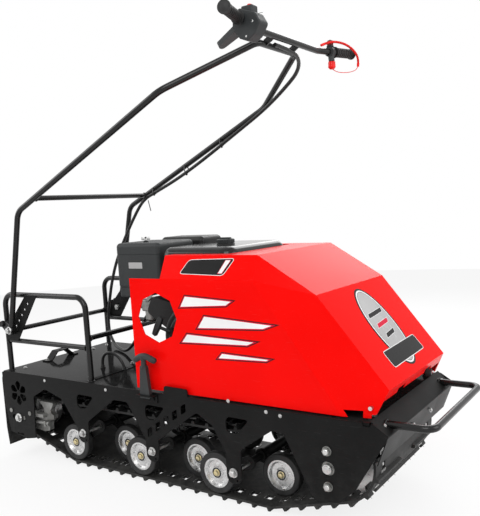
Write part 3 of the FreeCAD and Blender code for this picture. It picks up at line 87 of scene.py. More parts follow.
def leaveEdit():
    bpy.ops.object.mode_set(mode="OBJECT")
    return bpy.context.object


def applyPlace(thing):
    selectOnly(thing)
    bpy.ops.object.transform_apply(location=True, rotation=True, scale=True)
    return thing


def joined(things, name):
    selectOnly(*things)
    if len(things) > 1:
        bpy.ops.object.join()
    thing = bpy.context.object
    thing.name = name
    thing.data.name = name
    return applyPlace(thing)


def copiesOf(template, places, name):
    # one mesh copy at each matrix; the template itself goes
    copies = []
    for place in places:
        twin = template.copy()
        twin.data = template.data.copy()
        bpy.context.collection.objects.link(twin)
        twin.matrix_world = place @ template.matrix_world
        copies.append(twin)
    bpy.data.objects.remove(template, do_unlink=True)
    return joined(copies, name)


def mergeAndFaceOut(distance):
    bpy.ops.mesh.select_all(action="SELECT")
    bpy.ops.mesh.remove_doubles(threshold=distance)
    bpy.ops.mesh.normals_make_consistent(inside=False)
    return leaveEdit()


def withModifier(thing, kind, **settings):
    selectOnly(thing)
    modifier = thing.modifiers.new(kind.title(), kind)
    for key, value in settings.items():
        setattr(modifier, key, value)
    bpy.ops.object.modifier_apply(modifier=modifier.name)
    return thing


# the record's slots, each with the finishes that stand in it
slotFinishes = {"zinc_steel": ("zinc", "hubPassivated", "shadeAndSeamBlack"), "black_paint": ("tubeBlack", "powderBlack"),
                "black_gloss": ("tankGloss",), "grip_rubber": ("gripRubber",), "tyre_rubber": ("tyreRubber",),
                "track_rubber": ("beltRubber",), "red_plastic": ("signalRed", "darkRedPlastic"),
                "black_plastic": ("grainPlastic", "tieBlack")}
slotOf = {finish: slotName for slotName, held in slotFinishes.items() for finish in held}


def finished(thing, body, finish, smoothAngle=35, slotName=None):
    applyPlace(thing)
    bpy.ops.object.shade_smooth_by_angle(angle=math.radians(smoothAngle))
    thing.data.materials.clear()
    thing.data.materials.append(finishes[finish])
    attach(thing, body)
    slotName = slotName or slotOf.get(finish)
    return thing


def spread(template, places, name, body, finish, smoothAngle=35):
    # a finished piece made of copies of one template
    return finished(copiesOf(template, places, name), body, finish, smoothAngle)


def single(thing, name, place, body, finish):
    # a finished piece named and put in one place
    thing.matrix_world = place
    thing.name = name
    return finished(thing, body, finish)


def moved(x, y, z):
    return Matrix.Translation((x, y, z))


def placeAt(point, direction=(0, 0, 1)):
    return moved(*point) @ Vector(direction).to_track_quat("Z", "Y").to_matrix().to_4x4()


def sidePlaces(spots, y):
    # at each (x, z), one place on either side that looks outwards
    return [placeAt((x, side * y, z), (0, side, 0)) for x, z in spots for side in (-1, 1)]


def turnFrom(x, y, z):
    # a turn whose axes are the three directions given
    return Matrix((x, y, z)).transposed().to_4x4()


def spunRing(profile, steps=32):
    # turns an open (radius, height) line about Z by extruding points and the spin tool
    clearSelection()
    bpy.ops.mesh.primitive_plane_add(size=1)
    editAll("VERT")
    bpy.ops.mesh.merge(type="CENTER")
    bpy.ops.transform.translate(value=(profile[0][0], 0, profile[0][1]))
    for before, after in zip(profile, profile[1:]):
        bpy.ops.mesh.extrude_region_move(
            TRANSFORM_OT_translate={"value": (after[0] - before[0], 0, after[1] - before[1])})
    bpy.ops.mesh.select_all(action="SELECT")
    bpy.ops.mesh.spin(steps=steps, angle=2 * math.pi, center=(0, 0, 0), axis=(0, 0, 1))
    return mergeAndFaceOut(0.00001)


def boxBetween(low, high, bevel=0.0008, segments=2):
    # a box from corner to corner with its edges bevelled
    low, high = Vector(low), Vector(high)
    clearSelection()
    bpy.ops.mesh.primitive_cube_add(size=1, location=(low + high) / 2)
    block = bpy.context.object
    block.scale = high - low
    applyPlace(block)
    editAll()
    bpy.ops.mesh.bevel(offset=bevel, segments=segments, affect="EDGES")
    return leaveEdit()


def crownedDisc(radius, height, bevel=0.0006, sides=24):
    # a short round with both rims bevelled, standing on Z
    clearSelection()
    bpy.ops.mesh.primitive_cylinder_add(vertices=sides, radius=radius, depth=height, location=(0, 0, height / 2))
    editFaces(lambda face: abs(face.normal.z) > 0.9)
    bpy.ops.mesh.inset(thickness=bevel)
    disc = leaveEdit()
    for vertex in disc.data.vertices:
        if abs(vertex.co.xy.length - radius) < 1e-6:
            vertex.co.z *= 1.0 - 2.0 * bevel / height
    return disc


def hexHead(size, height, lift=0.0):
    # hexagon head with a chamfered and dished crown, standing on Z
    clearSelection()
    bpy.ops.mesh.primitive_cylinder_add(vertices=6, radius=size, depth=height, location=(0, 0, lift + height / 2))
    editFaces(lambda face: face.normal.z > 0.9)
    bpy.ops.mesh.inset(thickness=size * 0.1, depth=height * 0.1)
    bpy.ops.mesh.inset(thickness=size * 0.26)
    bpy.ops.mesh.inset(thickness=size * 0.1, depth=-height * 0.08)
    return leaveEdit()


def boltSet(size, head, washer):
    # hexagon bolt on its round washer
    return joined([hexHead(size, head, washer), crownedDisc(size * 1.35, washer, 0.0003)], "boltSet")


def crossScrews(radius, height, places, name, body):
    # domed screw heads, and in each a black cross of painted shade standing for its shaded recess
    head = spunRing([(0, height), (radius * 0.45, height * 0.97), (radius * 0.8, height * 0.74),
                     (radius, height * 0.28), (radius, 0)], 16)
    cross = []
    # black bars laid on the dome top: painted shade where the cross recess is
    for x, y in ((0.55, 0.11), (0.11, 0.55)):
        cross.append(boxBetween((-radius * x, -radius * y, height * 0.9), (radius * x, radius * y, height * 1.03),
                                height * 0.02, 1))
    spread(head, places, name, body, "zinc")
    spread(joined(cross, "cross"), places, name[:-1] + "Slots", body, "shadeAndSeamBlack")


def threadedTip(radius, length, pitch=0.0012):
    # thread end as a stack of fine crests, closed at its top by a chamfer
    steps = max(3, int(length / pitch))
    profile = [(radius * 0.9, 0)]
    for k in range(steps):
        profile.append((radius * 1.02, (k + 0.5) * length / steps))
        profile.append((radius * 0.92, (k + 1) * length / steps))
    profile += [(radius * 0.75, length * 1.05), (0, length * 1.05)]
    return spunRing(profile, 20)


def weldRing(radius, bead=0.0028):
    # rippled bead round a tube, lying flat on Z = 0
    clearSelection()
    middle = radius + bead * 0.35
    bpy.ops.mesh.primitive_torus_add(major_radius=middle, minor_radius=bead, major_segments=48, minor_segments=7)
    ring = bpy.context.object
    for vertex in ring.data.vertices:
        turn = math.atan2(vertex.co.y, vertex.co.x)
        reach = Vector((math.cos(turn), math.sin(turn), 0)) * middle
        swell = 0.9 + 0.16 * abs(math.sin(turn * 11)) + 0.08 * math.sin(turn * 3 + radius * 900)
        vertex.co = reach + (vertex.co - reach) * swell
    return ring


def strapRing(across, thick, width):
    # flat band bent round a bundle: a squashed ring with square edges
    clearSelection()
    bpy.ops.mesh.primitive_cylinder_add(vertices=40, radius=0.5, depth=width, end_fill_type="NOTHING")
    band = bpy.context.object
    band.scale = (across[0], across[1], 1)
    return withModifier(applyPlace(band), "SOLIDIFY", thickness=thick, offset=1.0)


def facing(direction, aside):
    # turns Z to the direction and keeps X as near as it can to aside
    ahead = Vector(direction).normalized()
    side = Vector(aside) - ahead * Vector(aside).dot(ahead)
    side.normalize()
    return turnFrom(side, ahead.cross(side), ahead)


def wired(tree, kind, inputs=None, **settings):
    node = tree.nodes.new(kind)
    for key, value in settings.items():
        setattr(node, key, value)
    for key, value in (inputs or {}).items():
        if isinstance(value, bpy.types.NodeSocket):
            tree.links.new(value, node.inputs[key])
        else:
            node.inputs[key].default_value = value
    return node


def toned(value):
    # a number stands for that grey
    return (value, value, value, 1) if isinstance(value, (int, float)) else (*value, 1)


def groupWith(name, inputs, outputs):
    # a node group whose sockets are all numbers
    group = bpy.data.node_groups.new(name, "ShaderNodeTree")
    for label in inputs:
        group.interface.new_socket(name=label, in_out="INPUT", socket_type="NodeSocketFloat")
    for label in outputs:
        group.interface.new_socket(name=label, in_out="OUTPUT", socket_type="NodeSocketFloat")
    return group, group.nodes.new("NodeGroupInput").outputs, group.nodes.new("NodeGroupOutput").inputs


def ramp(tree, factor, *stops):
    node = wired(tree, "ShaderNodeValToRGB", {"Fac": factor})
    for element, (position, tone) in zip(node.color_ramp.elements, stops):
        element.position, element.color = position, toned(tone)
    return node.outputs["Color"]


def noise(tree, where, scale, detail, roughness=0.5):
    return wired(tree, "ShaderNodeTexNoise", {"Vector": where, "Scale": scale, "Detail": detail,
                                              "Roughness": roughness}).outputs["Fac"]


def combine(tree, operation, first, second, clamped=False):
    return wired(tree, "ShaderNodeMath", {0: first, 1: second}, operation=operation, use_clamp=clamped).outputs[0]


def overlay(tree, share, under, over):
    return wired(tree, "ShaderNodeMix", {0: share, 6: under, 7: over}, data_type="RGBA").outputs[2]


def makeGrainGroup():
    # fine and broad surface noise, as height and as a mask
    group, given, out = groupWith("surfaceGrain", ("Fine", "Broad", "Mix"), ("Height", "Mask"))
    where = wired(group, "ShaderNodeTexCoord").outputs["Object"]
    fine = noise(group, where, given["Fine"], 4.0)
    broad = noise(group, where, given["Broad"], 6.0)
    both = wired(group, "ShaderNodeMix", {0: given["Mix"], 2: fine, 3: broad}, data_type="FLOAT")
    group.links.new(both.outputs[0], out["Height"])
    group.links.new(broad, out["Mask"])
    return group


def makeScuffGroup():
    # sparse thin scratches in one direction, and small chips
    group, given, out = groupWith("scuffs", ("Amount",), ("Mask",))
    where = wired(group, "ShaderNodeTexCoord").outputs["Object"]
    stretched = wired(group, "ShaderNodeMapping", {"Vector": where, "Rotation": (0.3, 0.7, 0.2),
                                                   "Scale": (1.0, 14.0, 14.0)})
    thin = ramp(group, noise(group, stretched.outputs[0], 30.0, 8.0), (0.64, 0), (0.69, 1))
    chips = wired(group, "ShaderNodeTexVoronoi", {"Vector": where, "Scale": 160.0})
    few = ramp(group, chips.outputs["Distance"], (0.07, 1), (0.11, 0))
    rare = ramp(group, noise(group, where, 9.0, 5.0), (0.56, 0), (0.68, 1))
    both = combine(group, "MAXIMUM", thin, combine(group, "MULTIPLY", few, rare))
    group.links.new(combine(group, "MULTIPLY", both, given["Amount"]), out["Mask"])
    return group


def makeDustGroup():
    # pale dust that gathers low down and on faces that look up
    group, given, out = groupWith("settledDust", ("Low", "High", "Up"), ("Mask",))
    place = wired(group, "ShaderNodeTexCoord").outputs
    height = wired(group, "ShaderNodeSeparateXYZ", {0: place["Object"]}).outputs["Z"]
    low = wired(group, "ShaderNodeMapRange",
                {0: height, 1: given["Low"], 2: given["High"], 3: 1.0, 4: 0.0}).outputs[0]
    upward = wired(group, "ShaderNodeSeparateXYZ", {0: place["Normal"]}).outputs["Z"]
    up = combine(group, "MULTIPLY", upward, given["Up"], True)
    broken = ramp(group, noise(group, place["Object"], 26.0, 9.0, 0.7), (0.42, 0), (0.74, 1))
    mask = combine(group, "MULTIPLY", combine(group, "ADD", low, up, True), broken, True)
    group.links.new(mask, out["Mask"])
    return group


def makeBrushGroup():
    # lathe or rolling marks: rings about Y for turned parts
    group, given, out = groupWith("turningMarks", ("Pitch",), ("Height",))
    where = wired(group, "ShaderNodeTexCoord").outputs["Object"]
    flat = wired(group, "ShaderNodeMapping", {"Vector": where, "Scale": (1.0, 0.06, 1.0)})
    group.links.new(noise(group, flat.outputs[0], given["Pitch"], 3.0), out["Height"])
    return group


effects = {"grain": makeGrainGroup(), "scuffs": makeScuffGroup(), "dust": makeDustGroup(), "marks": makeBrushGroup()}


def effect(tree, name, **values):
    node = tree.nodes.new("ShaderNodeGroup")
    node.node_tree = effects[name]
    for key, value in values.items():
        node.inputs[key].default_value = value
    return node.outputs


# what a look has unless it says otherwise; dustRough is how matt the dust is
plainLook = {"fine": 900.0, "broad": 9.0, "mix": 0.25, "metal": 0.0, "specular": 0.5, "bump": (0.03, 0.0002),
             "dustRough": 0.85}


def surface(name, colour, darker, smoothest, roughest, special):
    # one layered material: base colour, broad tone change, scuffs, dust, grain bump
    look = {**plainLook, **special}
    material = bpy.data.materials.new(name)
    material.use_nodes = True
    tree = material.node_tree
    tree.nodes.clear()
    out = tree.nodes.new("ShaderNodeOutputMaterial")
    shader = wired(tree, "ShaderNodeBsdfPrincipled",
                   {"Metallic": look["metal"], "Specular IOR Level": look["specular"]})
    tree.links.new(shader.outputs[0], out.inputs[0])
    grain = effect(tree, "grain", Fine=look["fine"], Broad=look["broad"], Mix=look["mix"])
    tone = ramp(tree, grain["Mask"], (0.3, darker), (0.7, colour))
    gloss = ramp(tree, grain["Mask"], (0.3, smoothest), (0.7, roughest))
    if "scuffs" in look:
        amount, bare = look["scuffs"]
        tone = overlay(tree, effect(tree, "scuffs", Amount=amount)[0], tone, toned(bare))
    if "dust" in look:
        amount, pale, low, high, up = look["dust"]
        share = combine(tree, "MULTIPLY", effect(tree, "dust", Low=low, High=high, Up=up)[0], amount)
        tone = overlay(tree, share, tone, toned(pale))
        gloss = overlay(tree, share, gloss, toned(look["dustRough"]))
    tree.links.new(tone, shader.inputs["Base Color"])
    tree.links.new(gloss, shader.inputs["Roughness"])
    height = grain["Height"]
    if "marks" in look:
        height = combine(tree, "ADD", height, effect(tree, "marks", Pitch=look["marks"])[0])
    strength, distance = look["bump"]
    bump = wired(tree, "ShaderNodeBump", {"Strength": strength, "Distance": distance, "Height": height})
    tree.links.new(bump.outputs[0], shader.inputs["Normal"])
    return material


# colour, darker colour, least and most roughness, then what differs from a plain look;
# scuffs: amount and tone; dust: amount, tone, heights it lies between, share on upward faces
looks = {
    "powderBlack": (0.009, 0.006, 0.36, 0.46, dict(fine=1400.0, bump=(0.22, 0.0004), specular=0.09,
        scuffs=(0.22, 0.06), dust=(0.1, (0.2, 0.2, 0.19), -0.1, 0.35, 0.15))),
    "tubeBlack": (0.009, 0.006, 0.18, 0.26, dict(fine=1100.0, bump=(0.12, 0.0003), specular=0.3, scuffs=(0.15, 0.07),
        dust=(0.06, 0.2, -0.2, 0.3, 0.1))),
    "deckGloss": (0.014, 0.009, 0.05, 0.12, dict(fine=500.0, broad=5.0, bump=(0.04, 0.0004), specular=0.012,
        scuffs=(0.3, 0.1), dust=(0.08, 0.4, -1.0, -0.9, 0.4))),
    "hoodRed": ((0.9, 0.004, 0.003), (0.84, 0.003, 0.002), 0.16, 0.24, dict(fine=700.0, broad=4.0, mix=0.3,
        bump=(0.04, 0.0003), specular=0.03, scuffs=(0.05, (0.9, 0.3, 0.26)))),
    "beltRubber": (0.024, 0.01, 0.5, 0.68, dict(fine=500.0, broad=24.0, mix=0.45, bump=(0.5, 0.0008), specular=0.3,
        scuffs=(0.2, 0.08), dust=(0.3, (0.2, 0.195, 0.18), -0.05, 0.26, 0.35))),
    "tyreRubber": (0.026, 0.015, 0.46, 0.6, dict(fine=800.0, broad=30.0, bump=(0.3, 0.0005), specular=0.3,
        dust=(0.18, 0.2, -0.05, 0.2, 0.2))),
    "gripRubber": (0.02, 0.011, 0.48, 0.62, dict(fine=1500.0, broad=40.0, bump=(0.5, 0.0005), specular=0.3,
        dust=(0.1, 0.18, 0.0, 0.1, 0.4))),
    "zinc": ((0.66, 0.66, 0.65), 0.46, 0.24, 0.4, dict(fine=600.0, broad=45.0, metal=1.0, marks=900.0,
        bump=(0.18, 0.0003), scuffs=(0.25, 0.25), dust=(0.25, (0.2, 0.18, 0.15), -0.05, 0.25, 0.2))),
    "rollerSilver": (0.8, 0.6, 0.2, 0.34, dict(fine=500.0, broad=60.0, metal=0.95, marks=500.0, bump=(0.2, 0.0004),
        scuffs=(0.35, 0.25), dust=(0.2, (0.25, 0.24, 0.22), -0.05, 0.2, 0.2))),
    "castAlloy": ((0.34, 0.34, 0.33), (0.16, 0.16, 0.15), 0.42, 0.58, dict(fine=420.0, broad=30.0, metal=0.8,
        mix=0.3, bump=(0.6, 0.0008), scuffs=(0.2, 0.4), dust=(0.4, (0.1, 0.09, 0.08), -0.05, 0.4, 0.3))),
    "engineBlack": (0.018, 0.01, 0.32, 0.42, dict(fine=700.0, broad=20.0, bump=(0.25, 0.0005), specular=0.25,
        scuffs=(0.15, 0.08), dust=(0.1, 0.3, -1.0, -0.9, 0.3))),
    "tankGloss": (0.01, 0.007, 0.08, 0.16, dict(fine=500.0, broad=6.0, bump=(0.04, 0.0003), specular=0.3,
        scuffs=(0.12, 0.1), dust=(0.1, 0.4, -1.0, -0.9, 0.3))),
    "grainPlastic": ((0.026, 0.029, 0.03), (0.018, 0.02, 0.021), 0.42, 0.52, dict(fine=1600.0, broad=12.0, mix=0.15,
        bump=(0.45, 0.0004), specular=0.3, dust=(0.1, 0.3, -1.0, -0.9, 0.3))),
    "sheathPlastic": (0.014, 0.009, 0.3, 0.42, dict(broad=40.0, bump=(0.2, 0.0004), specular=0.3,
        dust=(0.08, 0.25, 0.0, 0.5, 0.2))),
    "signalRed": ((0.8, 0.012, 0.008), (0.62, 0.008, 0.006), 0.24, 0.36, dict(broad=60.0, bump=(0.1, 0.0003),
        specular=0.25)),
    "darkRedPlastic": ((0.12, 0.012, 0.01), (0.08, 0.008, 0.007), 0.26, 0.36, dict(broad=60.0, bump=(0.1, 0.0003),
        specular=0.3)),
    "hubPassivated": ((0.8, 0.68, 0.36), (0.6, 0.52, 0.34), 0.22, 0.36, dict(fine=500.0, broad=90.0, metal=1.0,
        marks=700.0, bump=(0.15, 0.0003), scuffs=(0.2, 0.3))),
    # near-black: painted shade for the screw crosses, and the dark seam line on the throttle casing
    "shadeAndSeamBlack": (0.008, 0.005, 0.6, 0.8, dict(bump=(0.1, 0.0002), specular=0.1)),
    "tieBlack": (0.013, 0.009, 0.3, 0.42, dict(fine=1200.0, broad=50.0, bump=(0.15, 0.0003), specular=0.3)),
    "filmDark": (0.014, 0.01, 0.2, 0.28, dict(specular=0.1)),
    "filmGlow": ((0.66, 0.006, 0.045), (0.54, 0.004, 0.034), 0.18, 0.26, dict(specular=0.08)),
    "filmWhite": (0.86, 0.78, 0.18, 0.26, dict(specular=0.2, scuffs=(0.1, 0.4))),
    "filmPale": (0.46, 0.38, 0.22, 0.32, dict(specular=0.2)),
}
finishes = {name: surface(name, *look) for name, look in looks.items()}

nodeFinish = {
    "powderBlack": ["side_plate_right", "side_plate_left", "front_cover_plate", "handle_bracket_right",
                    "handle_bracket_left", "gear_lever_bracket", "tow_hitch", "bogie_arms", "belt_cover"],
    "tubeBlack": ["front_bumper", "cargo_rack_right", "cargo_rack_left", "rack_crossbars", "handle_frame",
                  "handlebar"],
    "deckGloss": ["deck_plate"],
    "hoodRed": ["hood"],
    "beltRubber": ["track", "rear_panel"],
    "tyreRubber": ["roller_tyres"],
    "gripRubber": ["grip_right", "grip_left"],
    "zinc": ["bogie_pins", "drive_axle", "rear_idler_axle", "handle_pivot_bolts", "hood_hinge_pins"],
    "rollerSilver": ["roller_discs"],
    "castAlloy": ["drive_bearings", "track_tensioners", "engine_block", "carburettor"],
    "engineBlack": ["fan_cover", "muffler"],
    "tankGloss": ["fuel_tank"],
    "grainPlastic": ["air_cleaner", "fuel_cap", "starter_grip", "throttle_housing", "throttle_lever", "gear_lever",
                     "kill_switch"],
    "signalRed": ["kill_switch_cap", "kill_lanyard"],
    "sheathPlastic": ["control_cable_upper", "control_cable_loop", "brake_hose"],
}
for finishName, names in nodeFinish.items():
    for name in names:
        nodes[name].data.materials.clear()
        nodes[name].data.materials.append(finishes[finishName])
print("finishes on every node")


# cables, hose and lanyard, each on one smooth route
cordSizes = {"cableRadius": 0.007, "hoseRadius": 0.006, "leadRadius": 0.0013, "coilWire": 0.0009,
             "coilRadius": 0.0036, "coilPitch": 0.0021, "coilSteps": 10, "hoseFoot": 0.3705}

# routes in millimetres
upperRoute = [(352, -60, 1510), (352, 60, 1508), (336, 130, 1492), (300, 178, 1464), (238, 214, 1434),
              (150, 254, 1393), (60, 288, 1355), (-40, 292, 1304), (-150, 292, 1245), (-260, 292, 1188),
              (-370, 292, 1136), (-470, 292, 1096), (-556, 292, 1064)]
loopRoute = [(-557, 292, 1063.6), (-592, 291, 1048), (-638, 280, 984), (-708, 258, 858), (-748, 245, 768),
             (-778, 238, 680), (-802, 236, 590), (-822, 237, 504), (-818, 234, 430), (-772, 214, 388),
             (-692, 166, 378), (-606, 124, 380), (-534, 100, 424), (-476, 84, 490), (-420, 66, 556), (-340, 40, 610),
             (-219, 18, 652)]
hoseRoute = [(-510, -112, 370.5), (-512, -112, 402), (-496, -110, 430), (-464, -107, 438), (-430, -104, 426),
             (-404, -102, 398), (-398, -101, 374.5)]
lanyardRoute = [(372, 240, 1556), (384, 262, 1566), (400, 300, 1572), (418, 345, 1566), (430, 385, 1548),
                (434, 412, 1524), (426, 424, 1504)]
leadRoute = [(426, 424, 1504), (424, 421, 1490), (418, 400, 1478), (408, 366, 1470), (398, 332, 1467),
             (388, 306, 1469), (381, 292, 1478)]


def pathCurve(kind, points, radius, sides):
    # a curve with one spline through the points, thickened to a capped tube
    clearSelection()
    bpy.ops.curve.primitive_nurbs_path_add()
    curve = bpy.context.object
    curve.data.splines.clear()
    spline = curve.data.splines.new(kind)
    spline.points.add(len(points) - 1)
    for control, point in zip(spline.points, points):
        control.co = (*point, 1)
    curve.data.bevel_depth = radius
    curve.data.bevel_resolution = sides
    curve.data.use_fill_caps = True
    return curve


def routeCurve(route, radius=0.0, sides=6):
    points = [[value / 1000 for value in point] for point in route]
    curve = pathCurve("NURBS", points, radius, sides)
    spline = curve.data.splines[0]
    spline.order_u = 3
    spline.use_endpoint_u = True
    spline.resolution_u = 14
    return curve


def lineOf(route):
    # the points along the middle of a route
    curve = routeCurve(route)
    bpy.context.view_layer.update()
    mesh = bpy.data.meshes.new_from_object(curve)
    line = [vertex.co.copy() for vertex in mesh.vertices]
    bpy.data.meshes.remove(mesh)
    bpy.data.objects.remove(curve, do_unlink=True)
    return line


def lengthOf(line):
    return sum((there - here).length for here, there in zip(line, line[1:]))


def alongLine(line, distance):
    # place and direction at a distance along a line of points
    for here, there in zip(line, line[1:]):
        run = (there - here).length
        if distance <= run:
            return here.lerp(there, distance / run), (there - here).normalized()
        distance -= run
    return line[-1].copy(), (line[-1] - line[-2]).normalized()


def tubeMesh(curve, name):
    selectOnly(curve)
    bpy.ops.object.convert(target="MESH")
    bpy.ops.object.mode_set(mode="EDIT")
    tube = mergeAndFaceOut(0.00002)
    tube.name = name
    return tube


def coilAlong(line, across, name):
    # a wire wound round a line
    steps = int(lengthOf(line) / cordSizes["coilPitch"]) * cordSizes["coilSteps"]
    points = []
    for k in range(steps + 1):
        middle, ahead = alongLine(line, lengthOf(line) * k / steps)
        side = Vector(across).cross(ahead).normalized()
        turn = 2 * math.pi * k / cordSizes["coilSteps"]
        reach = side * math.cos(turn) + ahead.cross(side) * math.sin(turn)
        points.append(middle + reach * cordSizes["coilRadius"])
    return tubeMesh(pathCurve("POLY", points, cordSizes["coilWire"], 1), name)


def declareCord(thing, line, node, radius, farEnd="object", stiffness="stiff", **more):
    if node:
        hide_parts(node)


def makeCord(name, route, size, finish, node, bodies, sides=6, blendEnds=None, **more):
    # a smooth tube along a route, riding one body, or riding none with its place baked in when blend ends are given
    line = lineOf(route)
    tube = applyPlace(tubeMesh(routeCurve(route, cordSizes[size], sides), name))
    bpy.ops.object.shade_smooth_by_angle(angle=math.radians(50))
    tube.data.materials.append(finishes[finish])
    if blendEnds:
        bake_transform(tube)
    else:
        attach(tube, *bodies)
    declareCord(tube, line, node, cordSizes[size], **more)
    return line


def makeHoseGlands():
    ends = [placeAt((x, y, cordSizes["hoseFoot"])) for x, y in ((-0.51, -0.112), (-0.398, -0.101))]
    gland = spunRing([(0.0062, 0.012), (0.0078, 0.012), (0.0088, 0.009), (0.0088, 0.005), (0.0105, 0.003),
                      (0.0105, -0.001), (0.0062, -0.001), (0.0062, 0.012)], 20)
    spread(gland, ends, "hoseGlands", "chassis", "sheathPlastic")


def makeLanyardCoil():
    line = lineOf(lanyardRoute)
    coil = finished(coilAlong(line, (0.92, -0.38, 0.0), "lanyardCoil"), "handle", "signalRed", 60)
    cuff = spunRing([(0, 0.016), (0.003, 0.016), (0.0048, 0.014), (0.005, 0.002), (0.004, -0.002), (0, -0.002)], 20)
    ends = [placeAt(line[0], line[0] - line[3]), placeAt(line[-1], line[-1] - line[-4])]
    cuffs = spread(cuff, [place @ moved(0, 0, -0.008) for place in ends], "lanyardCuffs", "handle", "signalRed")
    declareCord(coil, line, "kill_lanyard", cordSizes["coilRadius"] + cordSizes["coilWire"], "connector", "limp",
                with_pieces=[cuffs])


cableLine = makeCord("upperCable", upperRoute, "cableRadius", "sheathPlastic", "control_cable_upper", ["handle"])
makeCord("cableLoop", loopRoute, "cableRadius", "sheathPlastic", "control_cable_loop", ["chassis", "handle"],
         blendEnds={"start": (-0.8, 0.237, 0.4), "end": (-0.926, 0.237, 0.568)})
makeCord("brakeHose", hoseRoute, "hoseRadius", "sheathPlastic", "brake_hose", ["chassis"])
makeHoseGlands()
makeLanyardCoil()
makeCord("lanyardLead", leadRoute, "leadRadius", "signalRed", None, ["handle"], 4, stiffness="limp")
print("cords laid")


# graphics on the hood: plain slanted bars, an oval badge field and blank labels
filmSizes = {"thick": 0.0004, "darkEdge": 0.003, "glowEdge": 0.0032, "sideY": 0.2902, "shoulderY": 0.2903,
             "shoulderZ": 0.767, "shoulderRun": 0.433, "shoulderRise": 0.9016}
# corners as distance ahead and height, clockwise seen from the right
sideBars = [[(0.062, 0.668), (0.092, 0.716), (0.3, 0.704), (0.262, 0.68)],
            [(0.13, 0.6), (0.168, 0.652), (0.458, 0.634), (0.398, 0.612)],
            [(0.058, 0.548), (0.092, 0.588), (0.386, 0.578), (0.336, 0.556)],
            [(0.206, 0.505), (0.232, 0.533), (0.436, 0.527), (0.404, 0.511)]]
shoulderBand = [(0.07, 0.784), (0.1, 0.83), (0.286, 0.834), (0.251, 0.78)]
shoulderStripe = [(0.228, 0.786), (0.25, 0.829), (0.272, 0.829), (0.246, 0.786)]
badgeSizes = {"place": (0.6752, 0, 0.5912), "slope": (-0.6328, 0, 0.7744), "width": 0.087, "height": 0.15,
              "darkRing": 0.007, "whiteRing": 0.006, "label": 0.0012, "bars": 3, "barTop": 0.052, "barStep": 0.04,
              "barReach": 0.062, "barShrink": 0.01}


def ringed(patch, rings, corner, place, name):
    # nested rings, each a width and a finish from the rim inwards, then the film's thickness
    for width, finish in rings:
        patch.data.materials.append(finishes[finish])
    editAll()
    if corner:
        bpy.ops.mesh.bevel(offset=corner, segments=5, affect="VERTICES")
        bpy.ops.mesh.select_all(action="SELECT")
    for number, (width, finish) in enumerate(rings[:-1]):
        bpy.ops.mesh.inset(thickness=width, depth=0)
        patch.active_material_index = number + 1
        bpy.ops.object.material_slot_assign()
    leaveEdit()
    withModifier(patch, "SOLIDIFY", thickness=filmSizes["thick"], offset=1.0)
    patch.matrix_world = place
    patch.name = name
    return patch


def filmPatch(corners, rings, corner, place, name):
    clearSelection()
    bpy.ops.mesh.primitive_plane_add(size=1)
    patch = bpy.context.object
    for number, (u, v) in zip((0, 1, 3, 2), corners):
        patch.data.vertices[number].co = (u, v, 0)
    return ringed(patch, rings, corner, place, name)


def ovalPatch(width, height, rings, place, name):
    clearSelection()
    bpy.ops.mesh.primitive_circle_add(vertices=72, radius=1, fill_type="NGON")
    oval = bpy.context.object
    oval.scale = (width, height, 1)
    return ringed(applyPlace(oval), rings, 0, place, name)


def laid(patches, name, body="hood_lid"):
    film = joined(patches, name)
    bpy.ops.object.shade_smooth_by_angle(angle=math.radians(30))
    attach(film, body)


def planeAt(origin, across, up):
    across, up = Vector(across).normalized(), Vector(up).normalized()
    return moved(*origin) @ turnFrom(across, up, across.cross(up))


def turnedRound(corners, side):
    # made anticlockwise for either side
    return corners[::-1] if side < 0 else [(-u, v) for u, v in corners]


def makeSideGraphics():
    rings = [(filmSizes["darkEdge"], "filmDark"), (filmSizes["glowEdge"], "filmGlow"), (0, "filmWhite")]
    patches = []
    for side in (-1, 1):
        face = planeAt((0, side * filmSizes["sideY"], 0), (-side, 0, 0), (0, 0, 1))
        patches += [filmPatch(turnedRound(bar, side), rings, 0, face, "bar") for bar in sideBars]
    laid(patches, "sideGraphics")


def makeShoulderLabels():
    run, rise = filmSizes["shoulderRun"], filmSizes["shoulderRise"]
    layers = [(shoulderBand, [(0.0018, "filmWhite"), (0.0016, "filmDark"), (0, "filmDark")], 0.012, 0, "band"),
              (shoulderStripe, [(0.0016, "filmGlow"), (0, "filmWhite")], 0, filmSizes["thick"], "stripe")]
    patches = []
    for side in (-1, 1):
        foot = (0, side * filmSizes["shoulderY"], filmSizes["shoulderZ"])
        facet = planeAt(foot, (-side, 0, 0), (0, -side * run, rise))
        for corners, rings, corner, lift, name in layers:
            sloped = [(x, (z - filmSizes["shoulderZ"]) / rise) for x, z in corners]
            patches.append(filmPatch(turnedRound(sloped, side), rings, corner, facet @ moved(0, 0, lift), name))
    laid(patches, "shoulderLabels")


